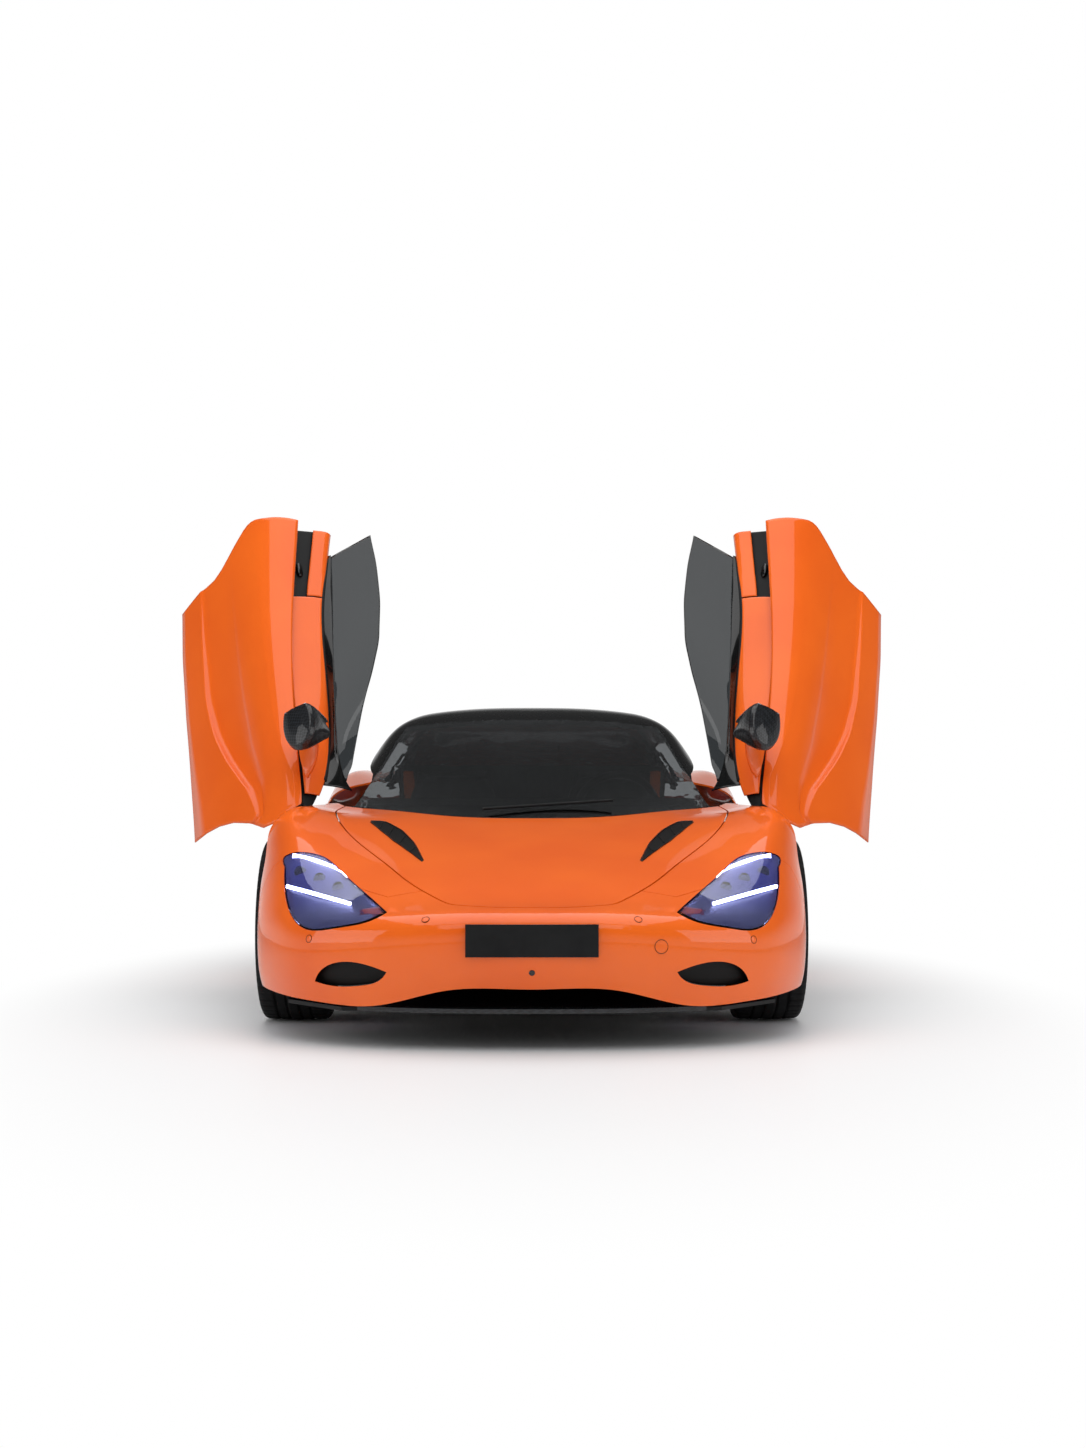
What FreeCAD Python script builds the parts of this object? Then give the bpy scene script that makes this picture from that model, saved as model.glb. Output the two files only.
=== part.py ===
import FreeCAD, Part
import math
import os
import Sketcher

V = FreeCAD.Vector
doc = FreeCAD.newDocument("supercar")

# Driving dimensions, in millimetres and degrees
drivingSizes = [
    ("wheelbase", 2670), ("bodyWidth", 1930), ("roofHeight", 1196),
    ("frontTrack", 1680), ("frontTyreDiameter", 654), ("frontTyreWidth", 245), ("frontRimDiameter", 494),
    ("rearTrack", 1629), ("rearTyreDiameter", 691), ("rearTyreWidth", 305), ("rearRimDiameter", 520),
    ("tyreShoulder", 14), ("tyreBulge", 9), ("rimWall", 8), ("rimDish", 42), ("spokeCount", 10),
    ("spokeWidth", 30), ("spokeDepth", 28), ("hubRadius", 72), ("hubBore", 26), ("tyreSeat", 0.4),
    ("frontDiscDiameter", 390), ("rearDiscDiameter", 380), ("discThickness", 34), ("discHatRadius", 95),
    ("discInset", 66), ("hubInset", 30), ("discHatWall", 9), ("seatGap", 0.3), ("discRoom", 6),
    ("stubGap", 1), ("frontArchGap", 58), ("rearArchGap", 46), ("doorArchGap", 77), ("kingpinInset", 88), ("kingpinRadius", 8), ("linerGap", 14), ("linerWall", 5),
    ("skin", 8), ("glassThickness", 4), ("pillarDepth", 22), ("roofDepth", 18), ("panelGap", 6),
    ("doorGap", 7), ("glassGap", 11), ("hingeRoom", 46),
    ("doorAngle", 80), ("doorInnerDepth", 62), ("doorInnerInset", 34), ("doorGlassInset", 3),
    ("floorHeight", 118), ("floorThickness", 12), ("tubWall", 22), ("tubHalfWidth", 790),
    ("sillHeight", 440), ("sillWidth", 150), ("skirtDrop", 66), ("seatWidth", 470), ("seatSpacing", 700),
    ("steeringWheelDiameter", 360), ("steeringRimThickness", 30), ("columnAngle", 22),
    ("plateWidth", 410), ("plateHeight", 100), ("plateThickness", 4), ("exhaustDiameter", 110),
    ("exhaustWall", 3), ("wingSpan", 1250), ("wingChord", 230), ("wingThickness", 24),
    ("engineLength", 620), ("engineWidth", 640), ("engineHeight", 480), ("armRadius", 12),
    ("mirrorLength", 190), ("jackPadDiameter", 60), ("jackPadDrop", 10),
]
sheet = doc.addObject("Spreadsheet::Sheet", "sizes")
for rowNumber, (alias, value) in enumerate(drivingSizes, start=1):
    sheet.set("A%d" % rowNumber, alias)
    sheet.set("B%d" % rowNumber, str(value))
    sheet.setAlias("B%d" % rowNumber, alias)
doc.recompute()


def size(alias):
    return float(sheet.get(alias))


# The body lines are drawn on a car of these sizes and follow the sheet when it changes
drawnWheelbase = 2670.0
drawnHalfWidth = 965.0
drawnHeight = 1196.0
stretchX = size("bodyWidth") / 2 / drawnHalfWidth
stretchY = size("wheelbase") / drawnWheelbase
stretchZ = size("roofHeight") / drawnHeight
noseStation = -1064
tailStation = 3505
plateReach = size("seatGap") + size("plateThickness")
frontAxleY = -((tailStation + noseStation) * stretchY - plateReach) / 2
rearAxleY = frontAxleY + size("wheelbase")
frontRadius = size("frontTyreDiameter") / 2
rearRadius = size("rearTyreDiameter") / 2
skin = size("skin")


def at(x, station, z):
    """A point on the body lines: station is the distance behind the front axle."""
    return V(x * stretchX, frontAxleY + station * stretchY, z * stretchZ)


def side(station, z):
    return at(0, station, z)


def mirrored(shape):
    return shape.mirror(V(0, 0, 0), V(1, 0, 0))


def wireThrough(runs):
    """Each run of two points is a straight edge, a longer one a smooth curve."""
    edges = []
    for run in runs:
        if len(run) == 2:
            edges.append(Part.LineSegment(run[0], run[1]).toShape())
        else:
            curve = Part.BSplineCurve()
            curve.interpolate(run)
            edges.append(curve.toShape())
    return Part.Wire(edges)


def grownRuns(runs, axis, amount):
    """The same closed outline with every point moved outwards, square to its neighbours."""
    loop = [point for run in runs for point in run[:-1]]
    count = len(loop)
    area = sum(loop[index - 1].cross(loop[index]).dot(axis) for index in range(count))
    axis = V(axis) * (1 if area > 0 else -1)
    moved = []
    for index, point in enumerate(loop):
        before = (point - loop[index - 1]).normalize().cross(axis)
        after = (loop[(index + 1) % count] - point).normalize().cross(axis)
        moved.append(point + (before + after) * (amount / (1 + before.dot(after))))
    grown = []
    first = 0
    for run in runs:
        grown.append([moved[(first + step) % count] for step in range(len(run))])
        first += len(run) - 1
    return grown


def prism(runs, start, travel, grow=0.0):
    if grow:
        runs = grownRuns(runs, V(travel).normalize(), grow)
    face = Part.Face(wireThrough(runs))
    face.translate(start)
    return face.extrude(travel)


def polygonRuns(points):
    return [[points[i], points[(i + 1) % len(points)]] for i in range(len(points))]


def sidePrism(points, grow=0.0, xFrom=-1500.0, xTo=0.0):
    """Outline in the side view, given as (station, z), cut through the car's right half."""
    return prism(polygonRuns([side(*p) for p in points]), V(xFrom, 0, 0), V(xTo - xFrom, 0, 0), grow)


def topPrism(runs, grow=0.0):
    return prism(runs, V(0, 0, -200), V(0, 0, 2200), grow)


def frontPrism(runs, stationFrom, stationTo, grow=0.0):
    start = V(0, stationFrom * stretchY, 0)
    return prism(runs, start, V(0, (stationTo - stationFrom) * stretchY, 0), grow)


def box(x0, x1, station0, station1, z0, z1):
    low = at(x0, station0, z0)
    high = at(x1, station1, z1)
    return Part.makeBox(high.x - low.x, high.y - low.y, high.z - low.z, low)


def tube(start, end, radius):
    return Part.makeCylinder(radius, (end - start).Length, start, end - start)


def single(shape):
    """The largest solid of a cut, which is the panel itself."""
    return max(shape.Solids, key=lambda solid: solid.Volume)


pieces = []


import time
began = time.time()


def addPiece(label, shape, placement=None):
    print("%.1f" % (time.time() - began), label, shape.isValid())
    piece = doc.addObject("Part::Feature", label)
    piece.Label = label
    piece.Shape = shape
    if placement is not None:
        piece.Placement = placement
    pieces.append(piece)
    return piece


# Outer skin: half sections from the centre line outwards, one row for each station
outward = [0, 0.0245, 0.1145, 0.258, 0.4288, 0.6369, 0.8274, 0.93, 1.0]
nose = [0, 0.29, 0.54, 0.73, 0.865, 0.955, 0.99, 1.0, 0.985]
cabin = [0, 0.29, 0.54, 0.73, 0.893, 0.970, 1.0, 0.995, 0.970]
haunch = [0, 0.29, 0.54, 0.71, 0.880, 0.970, 1.0, 0.990, 0.965]
skinRows = [
    (-1025, 720, 925, nose, [195, 190, 137, 140, 150, 160, 168, 172, 168]),
    (-1055, 745, 935, nose, [270, 266, 245, 232, 225, 222, 218, 200, 172]),
    (-1064, 760, 940, nose, [345, 340, 318, 300, 292, 285, 278, 240, 176]),
    (-1045, 755, 943, nose, [410, 405, 385, 368, 357, 350, 338, 280, 180]),
    (-940, 680, 947, nose, [451, 449, 436, 430, 434, 425, 400, 315, 184]),
    (-780, 560, 952, nose, [507, 506, 502, 515, 540, 508, 450, 340, 186]),
    (-560, 390, 958, nose, [578, 578, 582, 610, 648, 594, 500, 362, 188]),
    (-330, 220, 962, cabin, [642, 642, 650, 682, 718, 658, 545, 380, 190]),
    (-100, 60, 962, cabin, [697, 697, 706, 730, 756, 700, 575, 390, 190]),
    (150, 0, 960, cabin, [745, 745, 748, 752, 766, 712, 590, 392, 190]),
    (450, 0, 945, cabin, [790, 790, 788, 786, 768, 708, 585, 385, 190]),
    (800, 0, 932, cabin, [850, 850, 840, 812, 768, 705, 575, 372, 190]),
    (1200, 0, 935, cabin, [915, 912, 895, 840, 785, 722, 585, 375, 190]),
    (1600, 0, 948, cabin, [975, 970, 945, 880, 838, 772, 610, 385, 190]),
    (2000, 0, 962, haunch, [990, 985, 968, 930, 905, 842, 645, 395, 190]),
    (2350, 0, 966, haunch, [972, 970, 958, 942, 950, 888, 665, 400, 190]),
    (2700, 0, 965, haunch, [950, 948, 942, 938, 956, 892, 668, 400, 195]),
    (3000, 0, 950, haunch, [930, 929, 926, 925, 936, 870, 650, 400, 205]),
    (3250, -60, 922, haunch, [915, 914, 912, 912, 916, 840, 625, 400, 225]),
    (3440, -140, 890, haunch, [905, 904, 903, 902, 902, 815, 600, 400, 250]),
]
# Canopy: windscreen, side glass and roof as one surface, rows of (x, station, z) from the centre
canopyRows = [
    [(0, 30, 722), (250, 58, 728), (450, 140, 741), (600, 250, 757), (690, 350, 772), (742, 450, 786),
     (764, 520, 790)],
    [(0, 400, 905), (240, 425, 903), (420, 480, 897), (560, 555, 893), (652, 630, 884), (706, 690, 862),
     (744, 740, 812)],
    [(0, 740, 1068), (240, 752, 1065), (410, 785, 1056), (530, 830, 1043), (618, 880, 1006), (676, 915, 930),
     (724, 940, 828)],
    [(0, 1040, 1172), (240, 1045, 1168), (405, 1055, 1154), (505, 1065, 1134), (586, 1075, 1080),
     (648, 1090, 965), (706, 1110, 838)],
    [(0, 1320, 1196), (235, 1320, 1191), (395, 1322, 1176), (490, 1325, 1148), (566, 1330, 1072),
     (628, 1335, 958), (691, 1340, 843)],
    [(0, 1640, 1180), (230, 1640, 1176), (388, 1640, 1161), (477, 1640, 1132), (552, 1640, 1060),
     (610, 1640, 962), (674, 1640, 858)],
    [(0, 1960, 1122), (220, 1960, 1119), (368, 1960, 1104), (450, 1960, 1078), (526, 1960, 1020),
     (587, 1960, 952), (652, 1960, 880)],
    [(0, 2350, 1035), (210, 2350, 1033), (340, 2350, 1024), (424, 2350, 1004), (498, 2350, 966),
     (560, 2350, 932), (630, 2350, 900)],
    [(0, 2800, 952), (200, 2800, 951), (320, 2800, 948), (400, 2800, 942), (475, 2800, 930),
     (540, 2800, 918), (610, 2800, 905)],
]


def evenMarks(lines):
    """Parameters from 0 to 1 that follow the mean distance between neighbouring points."""
    steps = [0.0]
    for index in range(1, len(lines[0])):
        spans = [(line[index] - line[index - 1]).Length for line in lines]
        steps.append(steps[-1] + sum(spans) / len(spans))
    return [step / steps[-1] for step in steps]


def throughPoints(points, marks):
    curve = Part.BSplineCurve()
    curve.interpolate(Points=points, Parameters=marks)
    return curve


def surfaceOf(rows):
    """One smooth face through rows of half points, mirrored to the full width."""
    grid = [[V(-p.x, p.y, p.z) for p in reversed(row[1:])] + row for row in rows]
    across = evenMarks(grid)
    along = evenMarks([[row[index] for row in grid] for index in range(len(grid[0]))])
    rowCurves = [throughPoints(row, across) for row in grid]
    poleLines = [[curve.getPole(index + 1) for curve in rowCurves] for index in range(rowCurves[0].NbPoles)]
    columnCurves = [throughPoints(line, along) for line in poleLines]
    poles = [[curve.getPole(index + 1) for curve in columnCurves] for index in range(columnCurves[0].NbPoles)]
    surface = Part.BSplineSurface()
    surface.buildFromPolesMultsKnots(poles, columnCurves[0].getMultiplicities(), rowCurves[0].getMultiplicities(),
                                     columnCurves[0].getKnots(), rowCurves[0].getKnots(), False, False,
                                     columnCurves[0].Degree, rowCurves[0].Degree)
    return surface.toShape()


def skinRow(station, sweep, halfWidth, across, heights):
    return [at(halfWidth * share, station + sweep * back, z)
            for share, back, z in zip(across, outward, heights)]


bodyFace = surfaceOf([skinRow(*row) for row in skinRows])
canopyFace = surfaceOf([[at(*point) for point in row] for row in canopyRows])
bodySkin = bodyFace.makeOffsetShape(skin, 0.01, fill=True)
canopySkin = canopyFace.makeOffsetShape(size("glassThickness"), 0.01, fill=True)
print("skins", bodySkin.isValid(), canopySkin.isValid(), bodySkin.Volume / 1e9, canopySkin.Volume / 1e9)


def archCylinder(axleY, radius, axleHeight, inner):
    """The space round a wheel, on the car's right side."""
    return Part.makeCylinder(radius, 1500 - inner, V(-1500, axleY, axleHeight), V(1, 0, 0))


frontArch = archCylinder(frontAxleY, frontRadius + size("frontArchGap"), frontRadius, 545)
doorArch = archCylinder(frontAxleY, frontRadius + size("doorArchGap"), frontRadius, 545)
rearArch = archCylinder(rearAxleY, rearRadius + size("rearArchGap"), rearRadius, 545)

# Shut lines, as (station, z) in the side view, of the whole door and of its glass
doorOutline = [(300, 150), (1440, 222), (1516, 367), (1650, 600), (1734, 806), (1700, 872), (1560, 862),
               (1100, 838), (700, 822), (490, 808), (425, 790), (352, 742), (318, 680), (300, 600)]
glassOutline = [(494, 806), (700, 822), (1100, 838), (1560, 862), (1704, 872), (1676, 1032), (1500, 1040),
                (1300, 1040), (1150, 1030), (960, 990), (777, 926), (640, 888), (550, 850)]
gap = size("doorGap")
doorSkinRegion = sidePrism(doorOutline, 0.0, -1500, -560)
doorSkinGapRegion = sidePrism(doorOutline, gap, -1500, -560)
glassRegion = sidePrism(glassOutline, 0.0, -1500, -300)
glassGapRegion = sidePrism(glassOutline, size("glassGap"), -1500, -300)

# Bonnet shut line, right half from the rear corner to the middle of the leading edge, as (x, station)
bonnetSide = [(-706, 300), (-716, 150), (-704, -40), (-662, -209), (-555, -423), (-473, -572), (-401, -710),
              (-344, -797), (-296, -862), (-253, -911), (-202, -934), (-102, -959), (0, -961)]
screenFoot = [(0, 26), (-250, 52), (-450, 132), (-600, 240), (-706, 300)]


def planRun(points):
    return [at(x, station, 0) for x, station in points]


def mirrorRun(run):
    return [V(-p.x, p.y, p.z) for p in reversed(run)]


bonnetEdge = planRun(bonnetSide)
footEdge = planRun(screenFoot)
bonnetCurve = bonnetEdge + mirrorRun(bonnetEdge)[1:]
footCurve = mirrorRun(footEdge)[:-1] + footEdge
bonnetRuns = [bonnetCurve, footCurve]
bonnetRegion = topPrism(bonnetRuns)
bonnetGapRegion = topPrism(bonnetRuns, size("panelGap"))
headBox = box(-1400, 1400, -1400, 700, 300, 1300)

# Headlamp outline, right lamp seen from the front, as (x, z)
lampTop = [(-830, 560), (-838, 590), (-814, 603), (-756, 605), (-700, 590), (-636, 546), (-526, 470),
           (-462, 428)]
lampFoot = [(-462, 428), (-509, 404), (-621, 379), (-733, 375), (-793, 427), (-822, 505), (-830, 560)]
lampRuns = [[at(x, 0, z) for x, z in lampTop], [at(x, 0, z) for x, z in lampFoot]]
lampRegion = frontPrism(lampRuns, -1150, -330)
lampGapRegion = frontPrism(lampRuns, -1150, -330, 3)

# Lower intake mouth beside the plate
intakeTop = [(-690, 206), (-648, 258), (-590, 274), (-509, 265), (-452, 246)]
intakeFoot = [(-452, 246), (-480, 216), (-543, 199), (-620, 194), (-690, 206)]
intakeRuns = [[at(x, 0, z) for x, z in intakeTop], [at(x, 0, z) for x, z in intakeFoot]]
intakeRegion = frontPrism(intakeRuns, -1200, -700)

# Wing and bumper part along a line from the bonnet over the lamp to the arch
fenderPlan = [(-330, -790), (-462, -800), (-640, -640), (-800, -500), (-880, -430), (-1100, -430),
              (-1100, 640), (-300, 640)]
fenderRegion = topPrism(polygonRuns(planRun(fenderPlan)))
fenderGapRegion = topPrism(polygonRuns(planRun(fenderPlan)), 3)
noseBox = box(-1400, 1400, -1300, 260, 50, 900)
rightHalf = Part.makeBox(2000, 8000, 3000, V(-2000, -4000, -500))

# Plan line where the shoulder meets the glass, from the screen corner to the tail, as (x, station)
beltPlan = [(-706, 300), (-752, 449), (-737, 700), (-722, 1000), (-707, 1340), (-692, 1640), (-672, 1960),
            (-650, 2350), (-625, 2800), (-600, 3180), (-590, 3480)]
cabinRegion = topPrism([mirrorRun(footEdge)[:-1] + footEdge, planRun(beltPlan),
                        [at(-590, 3480, 0), at(590, 3480, 0)], mirrorRun(planRun(beltPlan))])


def bothSides(label, shape):
    addPiece(label, Part.makeCompound([shape, mirrored(shape)]))


# The dihedral door turns about a line that leans inwards, back and up through the foot of the screen pillar
hingeAxis = V(0.68, 0.555, 0.478)
hingePoint = at(-832, 353, 755)
hingeRoom = Part.makeCylinder(size("hingeRoom"), 260, hingePoint - hingeAxis * 200, hingeAxis)

bonnet = single(bodySkin.common(bonnetRegion))
fender = bodySkin.common(fenderRegion).common(rightHalf)
for cutter in (bonnetGapRegion, frontArch, doorSkinGapRegion, lampGapRegion, cabinRegion, hingeRoom):
    fender = fender.cut(cutter)
fender = single(fender)
bothSides("front_fenders", fender)
addPiece("bonnet", bonnet)

bumper = bodySkin.common(noseBox)
for cutter in (bonnetGapRegion, frontArch, mirrored(frontArch), lampGapRegion, mirrored(lampGapRegion),
               fenderGapRegion, mirrored(fenderGapRegion), intakeRegion, mirrored(intakeRegion)):
    bumper = bumper.cut(cutter)
bumper = single(bumper)
addPiece("front_bumper", bumper)
lens = single(bodySkin.common(lampRegion))
bothSides("headlamp_lenses", lens)
lampBack = bodyFace.common(lampRegion)
lampBack.translate(V(0, 42, 0))
bothSides("headlamp_housings", single(lampBack.extrude(V(0, 40, 0))))
intakeBack = bodyFace.common(intakeRegion)
intakeBack.translate(V(0, 30, 0))
bothSides("front_intake_grilles", single(intakeBack.extrude(V(0, 8, 0))))

# Doors, drawn closed on the right side
doorSkin = single(bodySkin.common(doorSkinRegion).cut(doorArch).cut(cabinRegion))
doorGlass = single(canopySkin.common(glassRegion))
innerOutline = [(440, 250), (1420, 300), (1480, 400), (1600, 600), (1680, 800), (1660, 830), (1100, 815),
                (700, 790), (480, 770), (450, 640), (440, 500)]
innerFace = bodyFace.common(sidePrism(innerOutline, 0.0, -1500, -880 * stretchX))
innerFace.translate(V(skin + 1, 0, 0))
doorInner = single(innerFace.extrude(V(size("doorInnerDepth"), 0, 0)))
doorInner = single(doorInner.cut(bodySkin))


def mirrorHousing():
    ball = Part.makeSphere(1)
    matrix = FreeCAD.Matrix()
    matrix.scale(size("mirrorLength") / 2, 62, 58)
    shell = ball.transformGeometry(matrix)
    shell.translate(at(-972, 600, 905))
    stalk = tube(at(-868, 560, 770), at(-945, 590, 890), 16)
    return single(shell.fuse(stalk))


doorMirror = mirrorHousing()
def openDoor(axis, point, angle):
    return FreeCAD.Placement(V(0, 0, 0), FreeCAD.Rotation(axis, angle), point)


rightOpen = openDoor(hingeAxis, hingePoint, size("doorAngle"))
leftOpen = openDoor(V(-hingeAxis.x, hingeAxis.y, hingeAxis.z), V(-hingePoint.x, hingePoint.y, hingePoint.z),
                    -size("doorAngle"))
for name, shape in (("skin", doorSkin), ("inner", doorInner), ("glass", doorGlass), ("mirror", doorMirror)):
    addPiece("door_right_" + name, shape, rightOpen)
    addPiece("door_left_" + name, mirrored(shape), leftOpen)

# Canopy: windscreen, pillars and header, hard top, tonneau
headerPlan = [(0, 890), (-240, 896), (-395, 918), (-520, 955)]
pillarPlan = [(-520, 955), (-590, 720), (-650, 480), (-676, 330)]
screenFootIn = [(0, 38), (-250, 64), (-450, 146), (-600, 256), (-676, 330)]
headEdge = planRun(headerPlan)
footIn = planRun(screenFootIn)
pillarEdge = planRun(pillarPlan)
screenRuns = [mirrorRun(headEdge)[:-1] + headEdge, pillarEdge,
              list(reversed(footIn)) + mirrorRun(list(reversed(footIn)))[1:], mirrorRun(pillarEdge)]
screenRegion = topPrism(screenRuns)
screenGapRegion = topPrism(screenRuns, size("seatGap"))
frameSkin = canopyFace.makeOffsetShape(size("pillarDepth"), 0.01, fill=True)
roofSkin = canopyFace.makeOffsetShape(size("roofDepth"), 0.01, fill=True)
addPiece("windscreen", single(canopySkin.common(screenRegion)))
frame = frameSkin.common(box(-900, 900, -50, 1033.7, 660, 1300)).cut(screenGapRegion)
frame = frame.cut(glassGapRegion).cut(mirrored(glassGapRegion)).common(cabinRegion).cut(bonnetGapRegion)
frame = single(frame)
addPiece("windscreen_frame", frame)
roof = roofSkin.common(box(-900, 900, 1034, 1693.7, 1000, 1300))
roof = single(roof.cut(glassGapRegion).cut(mirrored(glassGapRegion)))
addPiece("hard_top", roof)
tonneauPlan = planRun([(-500, 1694), (-500, 1748), (-760, 1748), (-760, 2840)])
tonneau = roofSkin.common(topPrism(polygonRuns(tonneauPlan + mirrorRun(tonneauPlan))))
addPiece("tonneau_cover", single(tonneau))

# Rear body
quarter = bodySkin.common(rightHalf).common(box(-1400, -600, 1380, 3175, 160, 1200))
for cutter in (doorSkinGapRegion, glassGapRegion, rearArch, cabinRegion):
    quarter = quarter.cut(cutter)
bothSides("rear_quarters", single(quarter))
deck = bodySkin.common(box(-585, 585, 2846, 3168, 700, 1200))
addPiece("rear_deck", single(deck))
tailPlan = [(-905, 3190), (-880, 3330), (-790, 3425), (-600, 3480), (-300, 3500), (0, 3505)]
tailEdge = planRun(tailPlan)
tailInner = [at(p[0] * 0.985, p[1] - 16, 0) for p in tailPlan]
tailRuns = [mirrorRun(list(reversed(tailEdge)))[:-1]]
tailCurve = tailEdge + mirrorRun(tailEdge)[1:]
tailInnerCurve = tailInner + mirrorRun(tailInner)[1:]
tailRuns = [tailCurve, [tailCurve[-1], tailInnerCurve[-1]], list(reversed(tailInnerCurve)),
            [tailInnerCurve[0], tailCurve[0]]]


def tailBand(z0, z1):
    return prism(tailRuns, V(0, 0, z0 * stretchZ), V(0, 0, (z1 - z0) * stretchZ))


addPiece("rear_bumper", tailBand(330, 600))
mesh = tailBand(606, 790)
for x in (-80, 80):
    mesh = mesh.cut(Part.makeCylinder(size("exhaustDiameter") / 2 + 3, 400, at(x, 3230, 690), V(0, 1, 0)))
addPiece("rear_mesh", mesh)
addPiece("tail_lamps", tailBand(796, 830))
addPiece("rear_diffuser", box(-560, 560, 3080, 3460, 150, 320))
wing = prism(polygonRuns([side(3190, 888), side(3190, 914), side(3440, 948), side(3470, 935), side(3440, 905)]),
             V(-size("wingSpan") / 2, 0, 0), V(size("wingSpan"), 0, 0))
addPiece("rear_wing", wing)


def exhaust(x):
    start = at(x, 3230, 690)
    pipe = Part.makeCylinder(size("exhaustDiameter") / 2, 270, start, V(0, 1, 0))
    return pipe.cut(Part.makeCylinder(size("exhaustDiameter") / 2 - size("exhaustWall"), 270, start, V(0, 1, 0)))


# Structure under the skin
floorPlan = [(-600, -900), (-800, -640), (-800, -430), (-530, -430), (-530, 430), (-860, 430), (-860, 2230),
             (-560, 2230), (-560, 3070)]
floorPoints = planRun(floorPlan)
floorRuns = polygonRuns(floorPoints + mirrorRun(floorPoints))
floorZ = size("floorHeight")
floor = prism(floorRuns, V(0, 0, floorZ), V(0, 0, size("floorThickness")))
for x in (-700, 700):
    for station in (620, 2050):
        foot = at(x, station, 0)
        foot.z = floorZ - size("jackPadDrop")
        floor = floor.fuse(Part.makeCylinder(size("jackPadDiameter") / 2, size("jackPadDrop"), foot))
addPiece("underfloor", floor)
tub = box(-790, 790, 430, 1740, 131, 155)
for part in (box(-790, -650, 430, 1740, 131, 430), box(650, 790, 430, 1740, 131, 430),
             box(-700, 700, 1700, 1740, 131, 800), box(-600, 600, 1700, 1740, 790, 960), box(-520, -500, 40, 450, 131, 640),
             box(500, 520, 40, 450, 131, 640), box(-520, 520, 20, 42, 131, 640),
             box(-520, 520, 40, 450, 131, 150), box(-740, -500, 430, 452, 131, 700),
             box(500, 740, 430, 452, 131, 700), box(-110, 110, 430, 1700, 131, 330),
             box(-740, -690, 430, 500, 400, 770), box(690, 740, 430, 500, 400, 770)):
    tub = tub.fuse(part)
addPiece("monocoque_tub", tub.removeSplitter())
luggage = box(-400, 400, -600, -20, 240, 500).cut(box(-394, 394, -594, -26, 246, 600))
addPiece("luggage_tub", luggage)
addPiece("engine_block", box(-320, 320, 1830, 2450, 131, 660))
wheelCentre = at(350, 905, 745)
wheelTilt = FreeCAD.Rotation(V(1, 0, 0), size("columnAngle"))
columnRoom = Part.makeCylinder(31, 320, V(0, -340, 0), V(0, 1, 0))
columnRoom.Placement = FreeCAD.Placement(wheelCentre, wheelTilt)
addPiece("dashboard", prism(polygonRuns([side(456, 620), side(456, 770), side(640, 800), side(790, 760),
                                         side(810, 640), side(700, 560)]),
                            V(-640 * stretchX, 0, 0), V(1280 * stretchX, 0, 0)).cut(columnRoom))
seatSide = [(960, 155.3), (960, 330), (1000, 350), (1380, 300), (1560, 760), (1600, 960), (1680, 960),
            (1660, 700), (1500, 155.3)]
seat = prism(polygonRuns([side(*p) for p in seatSide]), V(-size("seatSpacing") / 2 - size("seatWidth") / 2, 0, 0),
             V(size("seatWidth"), 0, 0))
bothSides("seats", seat)
skirtSection = [(-795, 131), (-900, 131), (-925, 160), (-895, 168), (-795, 168)]
skirt = prism(polygonRuns([at(x, 0, z) for x, z in skirtSection]), V(0, 440 * stretchY, 0),
              V(0, 1790 * stretchY, 0))
bothSides("side_skirts", skirt)
splitterPlan = [at(925 * 0.985 * share, -1012 + 720 * back, 0) for share, back in zip(nose[:7], outward[:7])]
splitterCurve = mirrorRun(splitterPlan)[:-1] + splitterPlan
splitterRuns = [splitterCurve, [splitterCurve[-1], splitterCurve[0]]]
addPiece("front_splitter", single(prism(splitterRuns, V(0, 0, 119 * stretchZ), V(0, 0, 14 * stretchZ)).cut(
    mirrored(frontArch)).cut(frontArch).cut(prism(floorRuns, V(0, 0, 0), V(0, 0, 400), 1))))


def liner(axleY, radius, xInner, xOuter):
    ring = Part.makeCylinder(radius - 0.5, xOuter - xInner, V(-xOuter, axleY, 0), V(1, 0, 0))
    ring = ring.cut(Part.makeCylinder(radius - size("linerWall"), xOuter - xInner, V(-xOuter, axleY, 0),
                                      V(1, 0, 0)))
    return ring.common(Part.makeBox(2000, 2000, 2000, V(-2000, axleY - 1000, 30)))


frontLiner = liner(frontAxleY, frontRadius + size("frontArchGap"), 600, 905)
frontLiner.translate(V(0, 0, frontRadius))
rearLiner = liner(rearAxleY, rearRadius + size("rearArchGap"), 560, 905)
rearLiner.translate(V(0, 0, rearRadius))
addPiece("arch_liners", Part.makeCompound([frontLiner, mirrored(frontLiner), rearLiner, mirrored(rearLiner)]))
addPiece("exhaust_tips", Part.makeCompound([exhaust(-80), exhaust(80)]))
addPiece("wiper", tube(at(-180, 75, 758), at(300, 150, 790), 5))


# Wheels, each drawn with its axle along X and its inner edge at X = 0
def planeOf(body, role):
    return next(item for item in body.Origin.OriginFeatures if item.Role == role)


def polygonSketch(body, name, role, corners):
    """Closed outline whose corners are bound to the sheet, each given as two expressions."""
    sketch = body.newObject("Sketcher::SketchObject", name)
    sketch.AttachmentSupport = [(planeOf(body, role), "")]
    sketch.MapMode = "FlatFace"
    points = [V(sketch.evalExpression(a), sketch.evalExpression(b), 0) for a, b in corners]
    count = len(points)
    for index in range(count):
        sketch.addGeometry(Part.LineSegment(points[index], points[(index + 1) % count]))
    for index in range(count):
        sketch.addConstraint(Sketcher.Constraint("Coincident", index, 2, (index + 1) % count, 1))
    for index, corner in enumerate(corners):
        for kind, text, value in zip(("DistanceX", "DistanceY"), corner, (points[index].x, points[index].y)):
            number = sketch.addConstraint(Sketcher.Constraint(kind, -1, 1, index, 1, value))
            sketch.setExpression("Constraints[%d]" % number, text)
    return sketch


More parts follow.
